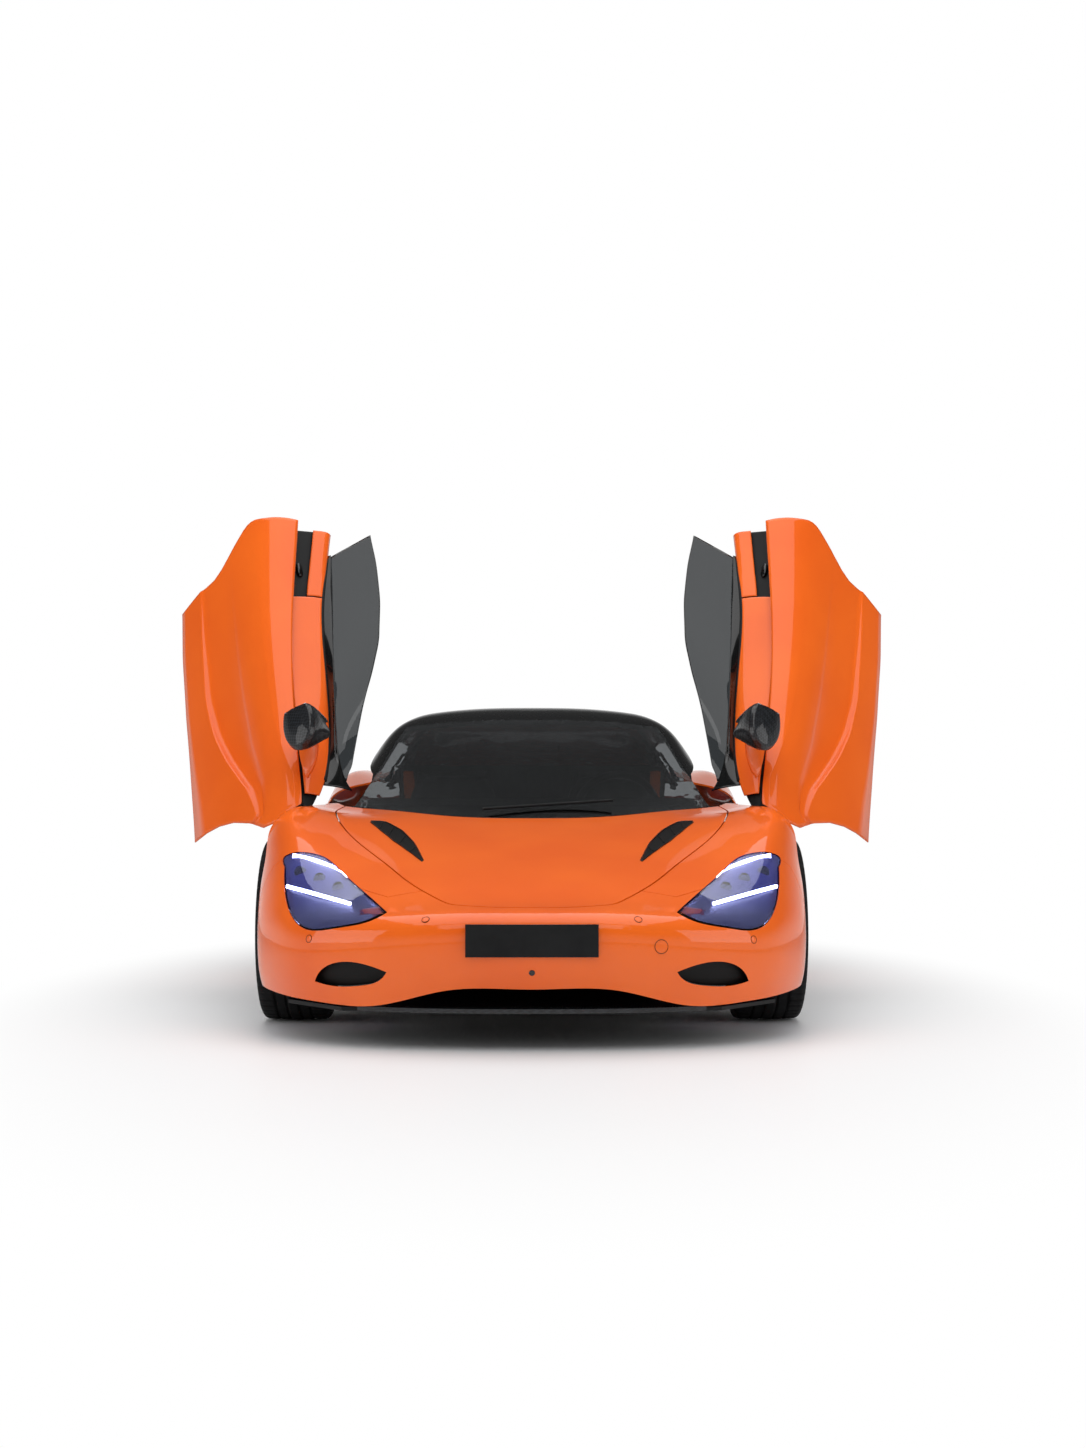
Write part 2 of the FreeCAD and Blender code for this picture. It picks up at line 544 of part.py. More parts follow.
def revolved(body, name, sketch):
    feature = body.newObject("PartDesign::Revolution", name)
    feature.Profile = sketch
    feature.ReferenceAxis = (planeOf(body, "X_Axis"), [""])
    feature.Angle = 360
    return feature


def newBody(label):
    body = doc.addObject("PartDesign::Body", label)
    body.Label = label
    pieces.append(body)
    return body


def tyre(label, axle):
    body = newBody(label)
    wide = "sizes.%sTyreWidth" % axle
    outer = "sizes.%sTyreDiameter / 2" % axle
    inner = "sizes.%sRimDiameter / 2 + sizes.tyreSeat" % axle
    profile = polygonSketch(body, label + "_section", "XY_Plane", [
        ("1.2 * sizes.tyreBulge", inner), (wide + " - 1.2 * sizes.tyreBulge", inner),
        (wide, "(%s + %s) / 2" % (outer, inner)),
        (wide + " - sizes.tyreBulge", outer + " - sizes.tyreShoulder"),
        (wide + " - sizes.tyreBulge - sizes.tyreShoulder * 1.6", outer),
        ("sizes.tyreBulge + sizes.tyreShoulder * 1.6", outer),
        ("sizes.tyreBulge", outer + " - sizes.tyreShoulder"),
        ("0.5", "(%s + %s) / 2" % (outer, inner))])
    revolved(body, label + "_ring", profile)
    return body


def rim(label, axle):
    body = newBody(label)
    body.AllowCompound = True
    wide = "sizes.%sTyreWidth" % axle
    outer = "sizes.%sRimDiameter / 2" % axle
    barrel = polygonSketch(body, label + "_barrel_section", "XY_Plane", [
        ("sizes.tyreBulge * 2", outer), ("sizes.tyreBulge * 2", outer + " - sizes.rimWall"),
        (wide + " - sizes.tyreBulge * 2", outer + " - sizes.rimWall"), (wide + " - sizes.tyreBulge * 2", outer)])
    revolved(body, label + "_barrel", barrel)
    face = wide + " - sizes.rimDish"
    hub = polygonSketch(body, label + "_hub_section", "XY_Plane", [
        (wide + " / 2 - sizes.hubInset", "sizes.hubBore"), (face, "sizes.hubBore"), (face, "sizes.hubRadius"),
        (face + " - sizes.spokeDepth", "sizes.hubRadius"), (wide + " / 2 - sizes.hubInset", "sizes.hubRadius * 0.8")])
    revolved(body, label + "_hub", hub)
    spoke = polygonSketch(body, label + "_spoke_section", "XY_Plane", [
        (face + " - sizes.spokeDepth", "sizes.hubRadius - 4"), (face, "sizes.hubRadius - 4"),
        (wide + " - sizes.tyreBulge * 2 - 4", outer + " - sizes.rimWall / 2"),
        (wide + " - sizes.tyreBulge * 2 - sizes.spokeDepth", outer + " - sizes.rimWall / 2")])
    pad = body.newObject("PartDesign::Pad", label + "_spoke")
    pad.Profile = spoke
    pad.Midplane = True
    pad.setExpression("Length", "sizes.spokeWidth")
    pattern = body.newObject("PartDesign::PolarPattern", label + "_spokes")
    pattern.Originals = [pad]
    pattern.Axis = (planeOf(body, "X_Axis"), [""])
    pattern.Angle = 360
    pattern.setExpression("Occurrences", "sizes.spokeCount")
    body.Tip = pattern
    return body


def disc(label, axle):
    body = newBody(label)
    outer = "sizes.%sDiscDiameter / 2" % axle
    hatFace = "sizes.discInset - sizes.hubInset - sizes.seatGap"
    section = polygonSketch(body, label + "_section", "XY_Plane", [
        ("0.001", "sizes.discHatRadius"), (hatFace + " - sizes.discHatWall", "sizes.discHatRadius"),
        (hatFace + " - sizes.discHatWall", "sizes.hubBore + 6"), (hatFace, "sizes.hubBore + 6"),
        (hatFace, "sizes.discHatRadius + sizes.discHatWall"),
        ("sizes.discThickness", "sizes.discHatRadius + 2 * sizes.discHatWall"),
        ("sizes.discThickness", outer), ("0.001", outer)])
    revolved(body, label + "_ring", section)
    return body


def placeWheel(body, sideSign, centreX, axleY, height, offset):
    """offset is how far the piece's own inner edge lies from the wheel's centre plane, inwards."""
    turn = FreeCAD.Rotation(V(0, 0, 1), 0 if sideSign > 0 else 180)
    body.Placement = FreeCAD.Placement(V(sideSign * (centreX - offset), axleY, height), turn)


for axle, sideName, sideSign in (("front", "left", 1), ("front", "right", -1), ("rear", "left", 1),
                                 ("rear", "right", -1)):
    axleY = frontAxleY if axle == "front" else rearAxleY
    height = size(axle + "TyreDiameter") / 2
    centreX = size(axle + "Track") / 2
    half = size(axle + "TyreWidth") / 2
    corner = "%s_%s" % (axle, sideName)
    placeWheel(tyre("tyre_" + corner, axle), sideSign, centreX, axleY, height, half)
    placeWheel(rim("rim_" + corner, axle), sideSign, centreX, axleY, height, half)
    placeWheel(disc("brake_disc_" + corner, axle), sideSign, centreX, axleY, height, size("discInset"))


armDrop = 110
eyeRadius = 15


def upright(centreX, axleY, height, discRadius):
    """Right upright with its stub axle, its two kingpin ends and its brake calliper."""
    inset = size("discInset")
    pinX = -centreX + size("kingpinInset")
    post = Part.makeBox(28, 84, 2 * armDrop - 30, V(pinX - 8, axleY - 42, height - armDrop + 15))
    stub = Part.makeCylinder(size("hubBore") - size("stubGap"), 112, V(pinX - 104, axleY, height), V(1, 0, 0))
    outside = -centreX - 2
    grip = Part.makeCylinder(discRadius + 26, 100, V(outside, axleY, height), V(1, 0, 0))
    grip = grip.cut(Part.makeCylinder(discRadius - 48, 100, V(outside, axleY, height), V(1, 0, 0)))
    grip = grip.common(Part.makeBox(400, 90, 180, V(outside - 10, axleY + 125, height - 40)))
    room = size("discRoom")
    grip = grip.cut(Part.makeCylinder(discRadius + room, size("discThickness") + 2 * room,
                                      V(-centreX + inset - size("discThickness") - room, axleY, height),
                                      V(1, 0, 0)))
    arm = Part.makeBox(26, 160, 70, V(pinX - 6, axleY + 20, height - 10))
    pin = Part.makeCylinder(size("kingpinRadius"), 2 * armDrop + 26, V(pinX, axleY, height - armDrop - 13))
    return post.fuse(stub).fuse(arm).fuse(grip).fuse(pin).removeSplitter()


frontUpright = upright(size("frontTrack") / 2, frontAxleY, frontRadius, size("frontDiscDiameter") / 2)
addPiece("front_upright_right", frontUpright)
addPiece("front_upright_left", mirrored(frontUpright))
bothSides("rear_uprights", upright(size("rearTrack") / 2, rearAxleY, rearRadius, size("rearDiscDiameter") / 2))


def wishbone(centreX, axleY, height, tubX):
    """Two tubes that meet in an eye round the kingpin."""
    pinX = -centreX + size("kingpinInset")
    eyeCentre = V(pinX, axleY, height)
    legs = [tube(V(20 - tubX, axleY + reach, height), eyeCentre, size("armRadius")) for reach in (-160, 160)]
    eye = Part.makeCylinder(eyeRadius, 24, eyeCentre - V(0, 0, 12))
    whole = legs[0].fuse(legs[1]).fuse(eye)
    whole = whole.cut(Part.makeBox(400, 600, 200, V(-tubX, axleY - 300, height - 100)))
    return whole.cut(Part.makeCylinder(size("kingpinRadius") + size("seatGap"), 40, eyeCentre - V(0, 0, 20)))


arms = []
for axleY, radius, centreX, tubX in ((frontAxleY, frontRadius, size("frontTrack") / 2, 520.3),
                                     (rearAxleY, rearRadius, size("rearTrack") / 2, 320.3)):
    for drop in (-armDrop, armDrop):
        arms.append(wishbone(centreX, axleY, radius + drop, tubX))
addPiece("suspension_arms", Part.makeCompound(arms + [mirrored(arm) for arm in arms]))

ring = Part.makeTorus(size("steeringWheelDiameter") / 2 - size("steeringRimThickness") / 2,
                      size("steeringRimThickness") / 2, V(0, 0, 0), V(0, 1, 0))
boss = Part.makeCylinder(45, 60, V(0, -60, 0), V(0, 1, 0))
bar = Part.makeBox(size("steeringWheelDiameter") - 40, 20, 30, V(-size("steeringWheelDiameter") / 2 + 20, -20, -15))
steering = ring.fuse(boss).fuse(bar)
addPiece("steering_wheel", steering, FreeCAD.Placement(wheelCentre, wheelTilt))
column = Part.makeCylinder(28, 110, V(0, -177, 0), V(0, 1, 0))
addPiece("steering_column", column, FreeCAD.Placement(wheelCentre, wheelTilt))
plateRuns = polygonRuns([V(sign * size("plateWidth") / 2, frontAxleY, 347 * stretchZ + up * size("plateHeight") / 2)
                         for sign, up in ((-1, -1), (1, -1), (1, 1), (-1, 1))])
plate = bodyFace.common(frontPrism(plateRuns, -1200, -900)).extrude(V(0, -60, 0))
plate.translate(V(0, -size("seatGap"), 0))
plateFront = at(0, noseStation, 0).y - plateReach
plate = plate.common(Part.makeBox(1000, 200, 1000, V(-500, plateFront, 0)))
addPiece("number_plate", plate)

doc.recompute()
failed = [piece.Label for piece in doc.Objects if "Invalid" in piece.State or "Error" in piece.State]
if failed:
    raise RuntimeError("failed objects: " + ", ".join(failed))
for piece in pieces:
    if piece.Shape.isNull() or not piece.Shape.isValid():
        raise RuntimeError("bad shape: " + piece.Label)
os.makedirs("parts", exist_ok=True)
whole = FreeCAD.BoundBox()
for piece in pieces:
    piece.Shape.exportStep("parts/%s.step" % piece.Label)
    whole.add(piece.Shape.BoundBox)
    print(piece.Label, len(piece.Shape.Solids), round(piece.Shape.Volume / 1e6, 2))
print(len(pieces), "pieces", whole)
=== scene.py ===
import math

import bmesh
import bpy
import numpy as np
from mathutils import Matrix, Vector
from mathutils.bvhtree import BVHTree


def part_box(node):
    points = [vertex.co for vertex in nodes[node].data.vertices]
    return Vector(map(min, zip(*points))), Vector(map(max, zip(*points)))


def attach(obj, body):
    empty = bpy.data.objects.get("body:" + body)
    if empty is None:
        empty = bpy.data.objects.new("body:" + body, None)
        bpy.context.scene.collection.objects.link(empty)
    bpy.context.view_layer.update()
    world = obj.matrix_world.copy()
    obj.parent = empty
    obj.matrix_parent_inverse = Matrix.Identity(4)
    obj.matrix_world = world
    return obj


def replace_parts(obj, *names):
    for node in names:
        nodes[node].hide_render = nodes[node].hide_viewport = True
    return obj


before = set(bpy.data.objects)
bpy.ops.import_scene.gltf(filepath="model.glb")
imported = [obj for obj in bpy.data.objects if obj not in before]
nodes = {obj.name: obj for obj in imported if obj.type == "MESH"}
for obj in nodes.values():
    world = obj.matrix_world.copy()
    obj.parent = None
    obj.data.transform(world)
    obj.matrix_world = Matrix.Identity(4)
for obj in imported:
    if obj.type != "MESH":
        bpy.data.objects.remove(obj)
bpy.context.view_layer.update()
chebyshev = np.polynomial.chebyshev
print("frame loaded,", len(nodes), "solids")

# Small tools for materials

def linear(hexColour):
    # sRGB hex to linear red, green, blue, alpha
    parts = np.array([int(hexColour[i:i + 2], 16) for i in (1, 3, 5)]) / 255
    curve = np.where(parts <= 0.04045, parts / 12.92, ((parts + 0.055) / 1.055) ** 2.4)
    return (*[float(part) for part in curve], 1.0)


def addNode(tree, kind, inputs=None, **settings):
    # inputs holds plain values or other nodes' output sockets, settings the node's own fields
    node = tree.nodes.new("ShaderNode" + kind)
    for name, value in settings.items():
        setattr(node, name, value)
    for name, value in (inputs or {}).items():
        if isinstance(value, bpy.types.NodeSocket):
            tree.links.new(value, node.inputs[name])
        else:
            node.inputs[name].default_value = value
    return node


def newMaterial(name, colour, **surface):
    # a Principled surface whose constants sit on its own sockets
    material = bpy.data.materials.new(name)
    material.use_nodes = True
    shader = material.node_tree.nodes["Principled BSDF"]
    shader.inputs["Base Color"].default_value = linear(colour)
    for socket, value in surface.items():
        shader.inputs[socket].default_value = value
    material.diffuse_color = linear(colour)
    return material, material.node_tree, shader


def objectPlace(tree):
    return addNode(tree, "TexCoord").outputs["Object"]


def grain(tree, scale, detail):
    # noise on object coordinates, scale in features per metre
    noise = addNode(tree, "TexNoise", {"Vector": objectPlace(tree), "Scale": scale, "Detail": detail,
                                       "Roughness": 0.55})
    return noise.outputs["Fac"]


def tint(tree, shader, factor, dark, light):
    # base colour that drifts between two hex colours over the middle of a pattern's range
    ramp = addNode(tree, "ValToRGB", {"Fac": factor})
    for element, position, colour in zip(ramp.color_ramp.elements, (0.35, 0.65), (dark, light)):
        element.position = position
        element.color = linear(colour)
    tree.links.new(ramp.outputs["Color"], shader.inputs["Base Color"])


def spread(tree, shader, factor, low, high):
    # roughness between two values, mapped from a pattern
    mapped = addNode(tree, "MapRange", {"Value": factor, "To Min": low, "To Max": high})
    tree.links.new(mapped.outputs["Result"], shader.inputs["Roughness"])


def bump(tree, shader, height, depth, strength, socket="Normal"):
    # depth in metres
    node = addNode(tree, "Bump", {"Height": height, "Distance": depth, "Strength": strength})
    tree.links.new(node.outputs["Normal"], shader.inputs[socket])


# Sprayed orange lacquer under clear coat: deep, even colour with a very fine orange-peel ripple
lacquerLook = {"colour": "#f0640c", "dark": "#ec600a", "light": "#f3680e", "ripplePerMetre": 160,
               "rippleDepth": 0.00004}


def sprayedLacquer(name, look):
    material, tree, shader = newMaterial(name, look["colour"], Roughness=0.5, **{
        "Specular IOR Level": 0.15, "Coat Weight": 0.8, "Coat Roughness": 0.03})
    tint(tree, shader, grain(tree, 2.5, 2.0), look["dark"], look["light"])
    bump(tree, shader, grain(tree, look["ripplePerMetre"], 1.0), look["rippleDepth"], 0.25, "Coat Normal")
    return material


# Polished black lacquer: near black, sharp reflections
def polishedBlack(name="polished_black_lacquer"):
    material, tree, shader = newMaterial(name, "#08090a", Roughness=0.25, **{
        "Specular IOR Level": 0.2, "Coat Weight": 0.8, "Coat Roughness": 0.03})
    spread(tree, shader, grain(tree, 30, 3.0), 0.2, 0.32)
    return material


def shaded(hexColour, factor):
    # the same hex colour made darker or lighter
    parts = [min(255, round(int(hexColour[place:place + 2], 16) * factor)) for place in (1, 3, 5)]
    return "#" + "".join(format(part, "02x") for part in parts)


# Moulded black polypropylene: fine leather-like grain, soft sheen
def mouldedBlack(name="moulded_black_plastic", colour="#121314"):
    material, tree, shader = newMaterial(name, colour, Roughness=0.5, **{"Specular IOR Level": 0.2})
    bump(tree, shader, grain(tree, 700, 2.0), 0.00015, 0.5)
    tint(tree, shader, grain(tree, 12, 3.0), shaded(colour, 0.8), shaded(colour, 1.2))
    return material


# Woven carbon fibre under lacquer: 2 mm tows over and under, drawn at 8 mm so that they show
def lacqueredCarbon(name="lacquered_carbon_weave", tow=0.008):
    material, tree, shader = newMaterial(name, "#15171a", Roughness=0.35, **{
        "Specular IOR Level": 0.2, "Coat Weight": 0.6, "Coat Roughness": 0.03})
    turned = addNode(tree, "Mapping", {"Vector": objectPlace(tree), "Rotation": (0.6, 0.5, math.radians(45))})
    checks = addNode(tree, "TexChecker", {"Vector": turned.outputs["Vector"], "Scale": 1 / tow,
                                          "Color1": linear("#0b0c0e"), "Color2": linear("#24272b")})
    tree.links.new(checks.outputs["Color"], shader.inputs["Base Color"])
    spread(tree, shader, checks.outputs["Fac"], 0.28, 0.5)
    return material


# Vulcanised rubber: dull, dusty black
def vulcanisedRubber(name="vulcanised_rubber"):
    material, tree, shader = newMaterial(name, "#161617", Roughness=0.78, **{"Specular IOR Level": 0.2})
    tint(tree, shader, grain(tree, 25, 4.0), "#111112", "#1d1d1e")
    bump(tree, shader, grain(tree, 900, 2.0), 0.0001, 0.4)
    return material


# Cast and lacquered aluminium alloy: dark grey metal with a soft shine
def castAlloy(name="cast_alloy_dark", colour="#4a4d51", roughness=0.32):
    material, tree, shader = newMaterial(name, colour, Metallic=1.0, Roughness=roughness)
    spread(tree, shader, grain(tree, 60, 3.0), roughness - 0.06, roughness + 0.1)
    bump(tree, shader, grain(tree, 1500, 2.0), 0.00005, 0.3)
    return material


def waveScale(metresPerRadian):
    # the wave texture runs through 20 radians in one unit
    return 1 / metresPerRadian / 20


# Turned cast iron: concentric tool marks about the axle, drawn 9.4 mm apart so that they show
def turnedIron(name, centre):
    material, tree, shader = newMaterial(name, "#77736d", Metallic=1.0, Roughness=0.35)
    centred = addNode(tree, "Mapping", {"Vector": objectPlace(tree), "Location": tuple(-c for c in centre)})
    rings = addNode(tree, "TexWave", {"Vector": centred.outputs["Vector"], "Scale": waveScale(0.0015),
                                      "Distortion": 0.4}, wave_type="RINGS", rings_direction="X")
    spread(tree, shader, rings.outputs["Fac"], 0.28, 0.45)
    bump(tree, shader, rings.outputs["Fac"], 0.0001, 0.4)
    return material


# Rolled and brushed stainless steel with heat-dulled sheen
def brushedSteel(name="brushed_stainless_steel", colour="#8d8a86"):
    material, tree, shader = newMaterial(name, colour, Metallic=1.0, Roughness=0.3)
    stretched = addNode(tree, "Mapping", {"Vector": objectPlace(tree), "Scale": (40, 900, 900)})
    lines = addNode(tree, "TexNoise", {"Vector": stretched.outputs["Vector"], "Scale": 1.0, "Detail": 3.0})
    spread(tree, shader, lines.outputs["Fac"], 0.22, 0.42)
    return material


# Float glass with a grey tint in its body
def tintedGlass(name, colour):
    material, tree, shader = newMaterial(name, colour, Roughness=0.0, IOR=1.45, **{
        "Transmission Weight": 1.0, "Specular IOR Level": 0.35})
    spread(tree, shader, grain(tree, 6, 2.0), 0.0, 0.015)
    return material


# Polycarbonate lamp cover, faintly blue
def clearPolycarbonate(name, colour):
    material, tree, shader = newMaterial(name, colour, Roughness=0.0, IOR=1.49, **{
        "Transmission Weight": 1.0, "Specular IOR Level": 0.15})
    spread(tree, shader, grain(tree, 8, 2.0), 0.0, 0.02)
    return material


# Light-emitting surface behind a diffuser
def litDiffuser(name, colour, strength):
    return newMaterial(name, colour, Roughness=0.4, **{
        "Emission Color": linear(colour), "Emission Strength": strength})[0]


# Suede-like microfibre: dark, soft, with a pile that catches light at its edges
def brushedMicrofibre(name="brushed_microfibre", dark="#17181a", light="#232427"):
    material, tree, shader = newMaterial(name, dark, Roughness=0.9, **{
        "Sheen Weight": 0.35, "Sheen Roughness": 0.4})
    nap = grain(tree, 300, 4.0)
    tint(tree, shader, nap, dark, light)
    bump(tree, shader, nap, 0.0003, 0.5)
    return material


# Full-grain leather: pebbled grain about 1.4 mm wide
def grainedLeather(name, dark, light):
    material, tree, shader = newMaterial(name, dark, Roughness=0.55)
    cells = addNode(tree, "TexVoronoi", {"Vector": objectPlace(tree), "Scale": 700})
    bump(tree, shader, cells.outputs["Distance"], 0.0002, 0.5)
    tint(tree, shader, grain(tree, 20, 3.0), dark, light)
    return material


orangeLacquer = sprayedLacquer("sprayed_orange_lacquer", lacquerLook)
blackLacquer = polishedBlack()
blackPlastic = mouldedBlack()
carbonWeave = lacqueredCarbon()
rubber = vulcanisedRubber()
darkAlloy = castAlloy()
steel = brushedSteel()
machined = castAlloy("machined_aluminium", "#9b9da0", 0.38)
screenGlass = tintedGlass("laminated_glass_grey", "#6d7072")
sideGlass = tintedGlass("tempered_glass_dark", "#333638")
lampCover = clearPolycarbonate("clear_polycarbonate", "#c3c9ff")
# the mesh's own black, darkened to near black as painted shade inside the intakes and the bonnet outlets
shadeBlack = mouldedBlack("shadowed_black_mesh", "#050505")
redPlastic = litDiffuser("red_lamp_diffuser", "#7a0a0c", 0.3)
microfibre = brushedMicrofibre()
blackLeather = grainedLeather("grained_black_leather", "#131415", "#1c1d1f")


def setFinish(name, material):
    nodes[name].data.materials.clear()
    nodes[name].data.materials.append(material)


finishes = (
    (orangeLacquer, "front_fenders bonnet front_bumper rear_quarters rear_deck rear_bumper rear_wing"),
    (orangeLacquer, "door_right_skin door_left_skin"),
    (blackPlastic, "door_right_inner door_left_inner rear_mesh underfloor luggage_tub"),
    (blackPlastic, "arch_liners wiper steering_column number_plate"),
    (blackLacquer, "windscreen_frame hard_top tonneau_cover"),
    (carbonWeave, "door_right_mirror door_left_mirror rear_diffuser monocoque_tub"),
    (carbonWeave, "side_skirts front_splitter"),
    (machined, "engine_block front_upright_left front_upright_right rear_uprights suspension_arms"),
    (lampCover, "headlamp_lenses"), (shadeBlack, "front_intake_grilles"), (redPlastic, "tail_lamps"),
    (screenGlass, "windscreen"), (sideGlass, "door_right_glass door_left_glass"), (steel, "exhaust_tips"),
    (blackLeather, "dashboard"), (microfibre, "seats steering_wheel"),
)
for material, names in finishes:
    for name in names.split():
        setFinish(name, material)
corners = ("front_left", "front_right", "rear_left", "rear_right")
for corner in corners:
    low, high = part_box("brake_disc_" + corner)
    setFinish("tyre_" + corner, rubber)
    setFinish("rim_" + corner, darkAlloy)
    setFinish("brake_disc_" + corner, turnedIron("turned_iron_" + corner, (low + high) / 2))
print("finishes set")

# Mesh tools: whole arrays of points and faces


def gridFaces(rows, columns, wrapRows=False, wrapColumns=False):
    # four-sided faces of a grid whose points are numbered row by row
    first, second = np.meshgrid(np.arange(rows if wrapRows else rows - 1),
                                np.arange(columns if wrapColumns else columns - 1), indexing="ij")
    nextRow = (first + 1) % rows
    nextColumn = (second + 1) % columns
    quads = (first * columns + second, first * columns + nextColumn, nextRow * columns + nextColumn,
             nextRow * columns + second)
    return np.stack([quad.ravel() for quad in quads], axis=1).tolist()


def tubeFaces(rings, count):
    # a grid closed round its columns, with a cap at each end
    return gridFaces(rings, count, wrapColumns=True) + [
        list(range(count)), list(range((rings - 1) * count, rings * count))]


def unit(vectors):
    return vectors / np.maximum(np.linalg.norm(vectors, axis=-1, keepdims=True), 1e-9)


def vertexArray(mesh):
    places = np.empty(len(mesh.vertices) * 3)
    mesh.vertices.foreach_get("co", places)
    return places.reshape(-1, 3)


def newObject(name, data):
    made = bpy.data.objects.new(name, data)
    bpy.context.scene.collection.objects.link(made)
    return made


def newPiece(name, points, faces, material, body, smooth=True):
    # a mesh whose faces point outwards, riding on a body
    mesh = bpy.data.meshes.new(name)
    mesh.from_pydata(np.asarray(points).reshape(-1, 3).tolist(), [], faces)
    work = bmesh.new()
    work.from_mesh(mesh)
    bmesh.ops.recalc_face_normals(work, faces=work.faces)
    work.to_mesh(mesh)
    work.free()
    mesh.polygons.foreach_set("use_smooth", [smooth] * len(mesh.polygons))
    mesh.materials.append(material)
    piece = newObject(name, mesh)
    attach(piece, body)
    return piece


def flipped(points):
    return np.asarray(points) * (-1, 1, 1)


def bothSides(name, part, material, body, smooth=True):
    # a piece that is made for the car's right side, and its mirror image
    newPiece(name + "_right", part[0], part[1], material, body, smooth)
    newPiece(name + "_left", flipped(part[0]), part[1], material, body, smooth)


def joinParts(parts):
    # one array of points and one list of faces from several
    points, faces, start = [], [], 0
    for partPoints, partFaces in parts:
        partPoints = np.asarray(partPoints).reshape(-1, 3)
        points.append(partPoints)
        faces += [[start + index for index in face] for face in partFaces]
        start += len(partPoints)
    return np.concatenate(points), faces


def ringOutline(radius, count, squash=1.0):
    # a circle of points, squashed or stretched in its second measure
    turn = np.linspace(0, 2 * np.pi, count, endpoint=False)
    return np.stack([radius * np.cos(turn), radius * squash * np.sin(turn)], axis=1)


def sweep(path, outline, up=(0, 0, 1), scales=None):
    # point = path + across * outline[0] + above * outline[1], closed at both ends
    path = np.asarray(path, dtype=float)
    along = unit(np.gradient(path, axis=0))
    across = unit(np.cross(along, np.array(up, dtype=float)))
    above = np.cross(across, along)
    scales = np.ones(len(path)) if scales is None else np.asarray(scales)
    offsets = outline[None] * scales[:, None, None]
    points = path[:, None] + offsets[:, :, :1] * across[:, None] + offsets[:, :, 1:] * above[:, None]
    return points, tubeFaces(len(path), len(outline))


def smoothPath(points, count):
    # Catmull-Rom curve through the points: even steps of the point number
    points = np.asarray(points, dtype=float)
    padded = np.concatenate([points[:1] * 2 - points[1:2], points, points[-1:] * 2 - points[-2:-1]])
    place = np.linspace(0, len(points) - 1 - 1e-9, count)
    number = place.astype(int)
    t = (place - number)[:, None]
    a, b, c, d = (padded[number + step] for step in range(4))
    return 0.5 * (2 * b + (c - a) * t + (2 * a - 5 * b + 4 * c - d) * t ** 2
                  + (3 * b - a - 3 * c + d) * t ** 3)


def surfaceTree(*names):
    # solids as one surface that rays can hit
    parts = []
    for name in names:
        mesh = nodes[name].data
        parts.append((vertexArray(mesh), [list(face.vertices) for face in mesh.polygons]))
    points, faces = joinParts(parts)
    return BVHTree.FromPolygons(points.tolist(), faces)


frontAxleY = sum(corner.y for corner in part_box("tyre_front_left")) / 2
# The photograph's camera: rows and columns in pixels, pixels per metre at the front axle, places in metres
photo = {"width": 1086, "height": 1448, "centreColumn": 532, "horizonRow": 817.5, "pixelsPerMetre": 274.8,
         "cameraBeforeAxle": 7.0, "cameraHeight": 0.726}


def behindPixel(tree, column, row):
    # the point and normal of a surface that the photograph shows at a pixel
    focal = photo["pixelsPerMetre"] * photo["cameraBeforeAxle"]
    eye = Vector((0, frontAxleY - photo["cameraBeforeAxle"], photo["cameraHeight"]))
    way = Vector(((column - photo["centreColumn"]) / focal, 1, (photo["horizonRow"] - row) / focal))
    way.normalize()
    place, normal, _, _ = tree.ray_cast(eye, way)
    return np.array(place), np.array(-normal if normal.dot(way) > 0 else normal)


# Tyres: four grooves round the tread and cross cuts in the shoulders
treadLook = {"grooveWidth": 0.009, "grooveDepth": 0.007, "grooves": (-0.6, -0.22, 0.22, 0.6), "blocks": 60,
             "samplesPerBlock": 6, "shoulder": 0.024, "crownDrop": 0.002, "cutDepth": 0.004,
             "wallLean": 0.016, "widthLess": 0.0005, "outerLess": 0.0003, "innerMore": 0.0006}


def tyreSection(halfWidth, outer, inner, look):
    # across is the distance from the middle plane, radius the distance from the axle
    crown = halfWidth - look["shoulder"]
    edges = [centre * crown + sign * look["grooveWidth"] * share for centre in look["grooves"]
             for sign in (-1, 1) for share in (0.5, 0.36)]
    across = np.sort(np.concatenate([np.linspace(-crown, crown, 23), edges]))
    radius = outer - look["crownDrop"] * (across / crown) ** 2
    for centre in look["grooves"]:
        radius -= look["grooveDepth"] * (np.abs(across - centre * crown) < look["grooveWidth"] * 0.45)
    turn = np.linspace(0, np.pi / 2, 7)[1:]
    shoulderX = crown + look["shoulder"] * 0.9 * np.sin(turn)
    shoulderR = outer - look["crownDrop"] - (look["shoulder"] - look["crownDrop"]) * (1 - np.cos(turn))
    drop = np.linspace(0, 1, 12)[1:]
    bulge = look["shoulder"] * 0.1
    wallX = halfWidth - bulge + bulge * np.sin(np.pi * drop) - look["wallLean"] * drop ** 2
    wallR = shoulderR[-1] + (inner - shoulderR[-1]) * drop
    side = np.concatenate([np.stack([shoulderX, shoulderR], 1), np.stack([wallX, wallR], 1)])
    left = side[::-1] * (-1, 1)
    return np.concatenate([left, np.stack([across, radius], 1), side]), (len(left), len(left) + len(across))


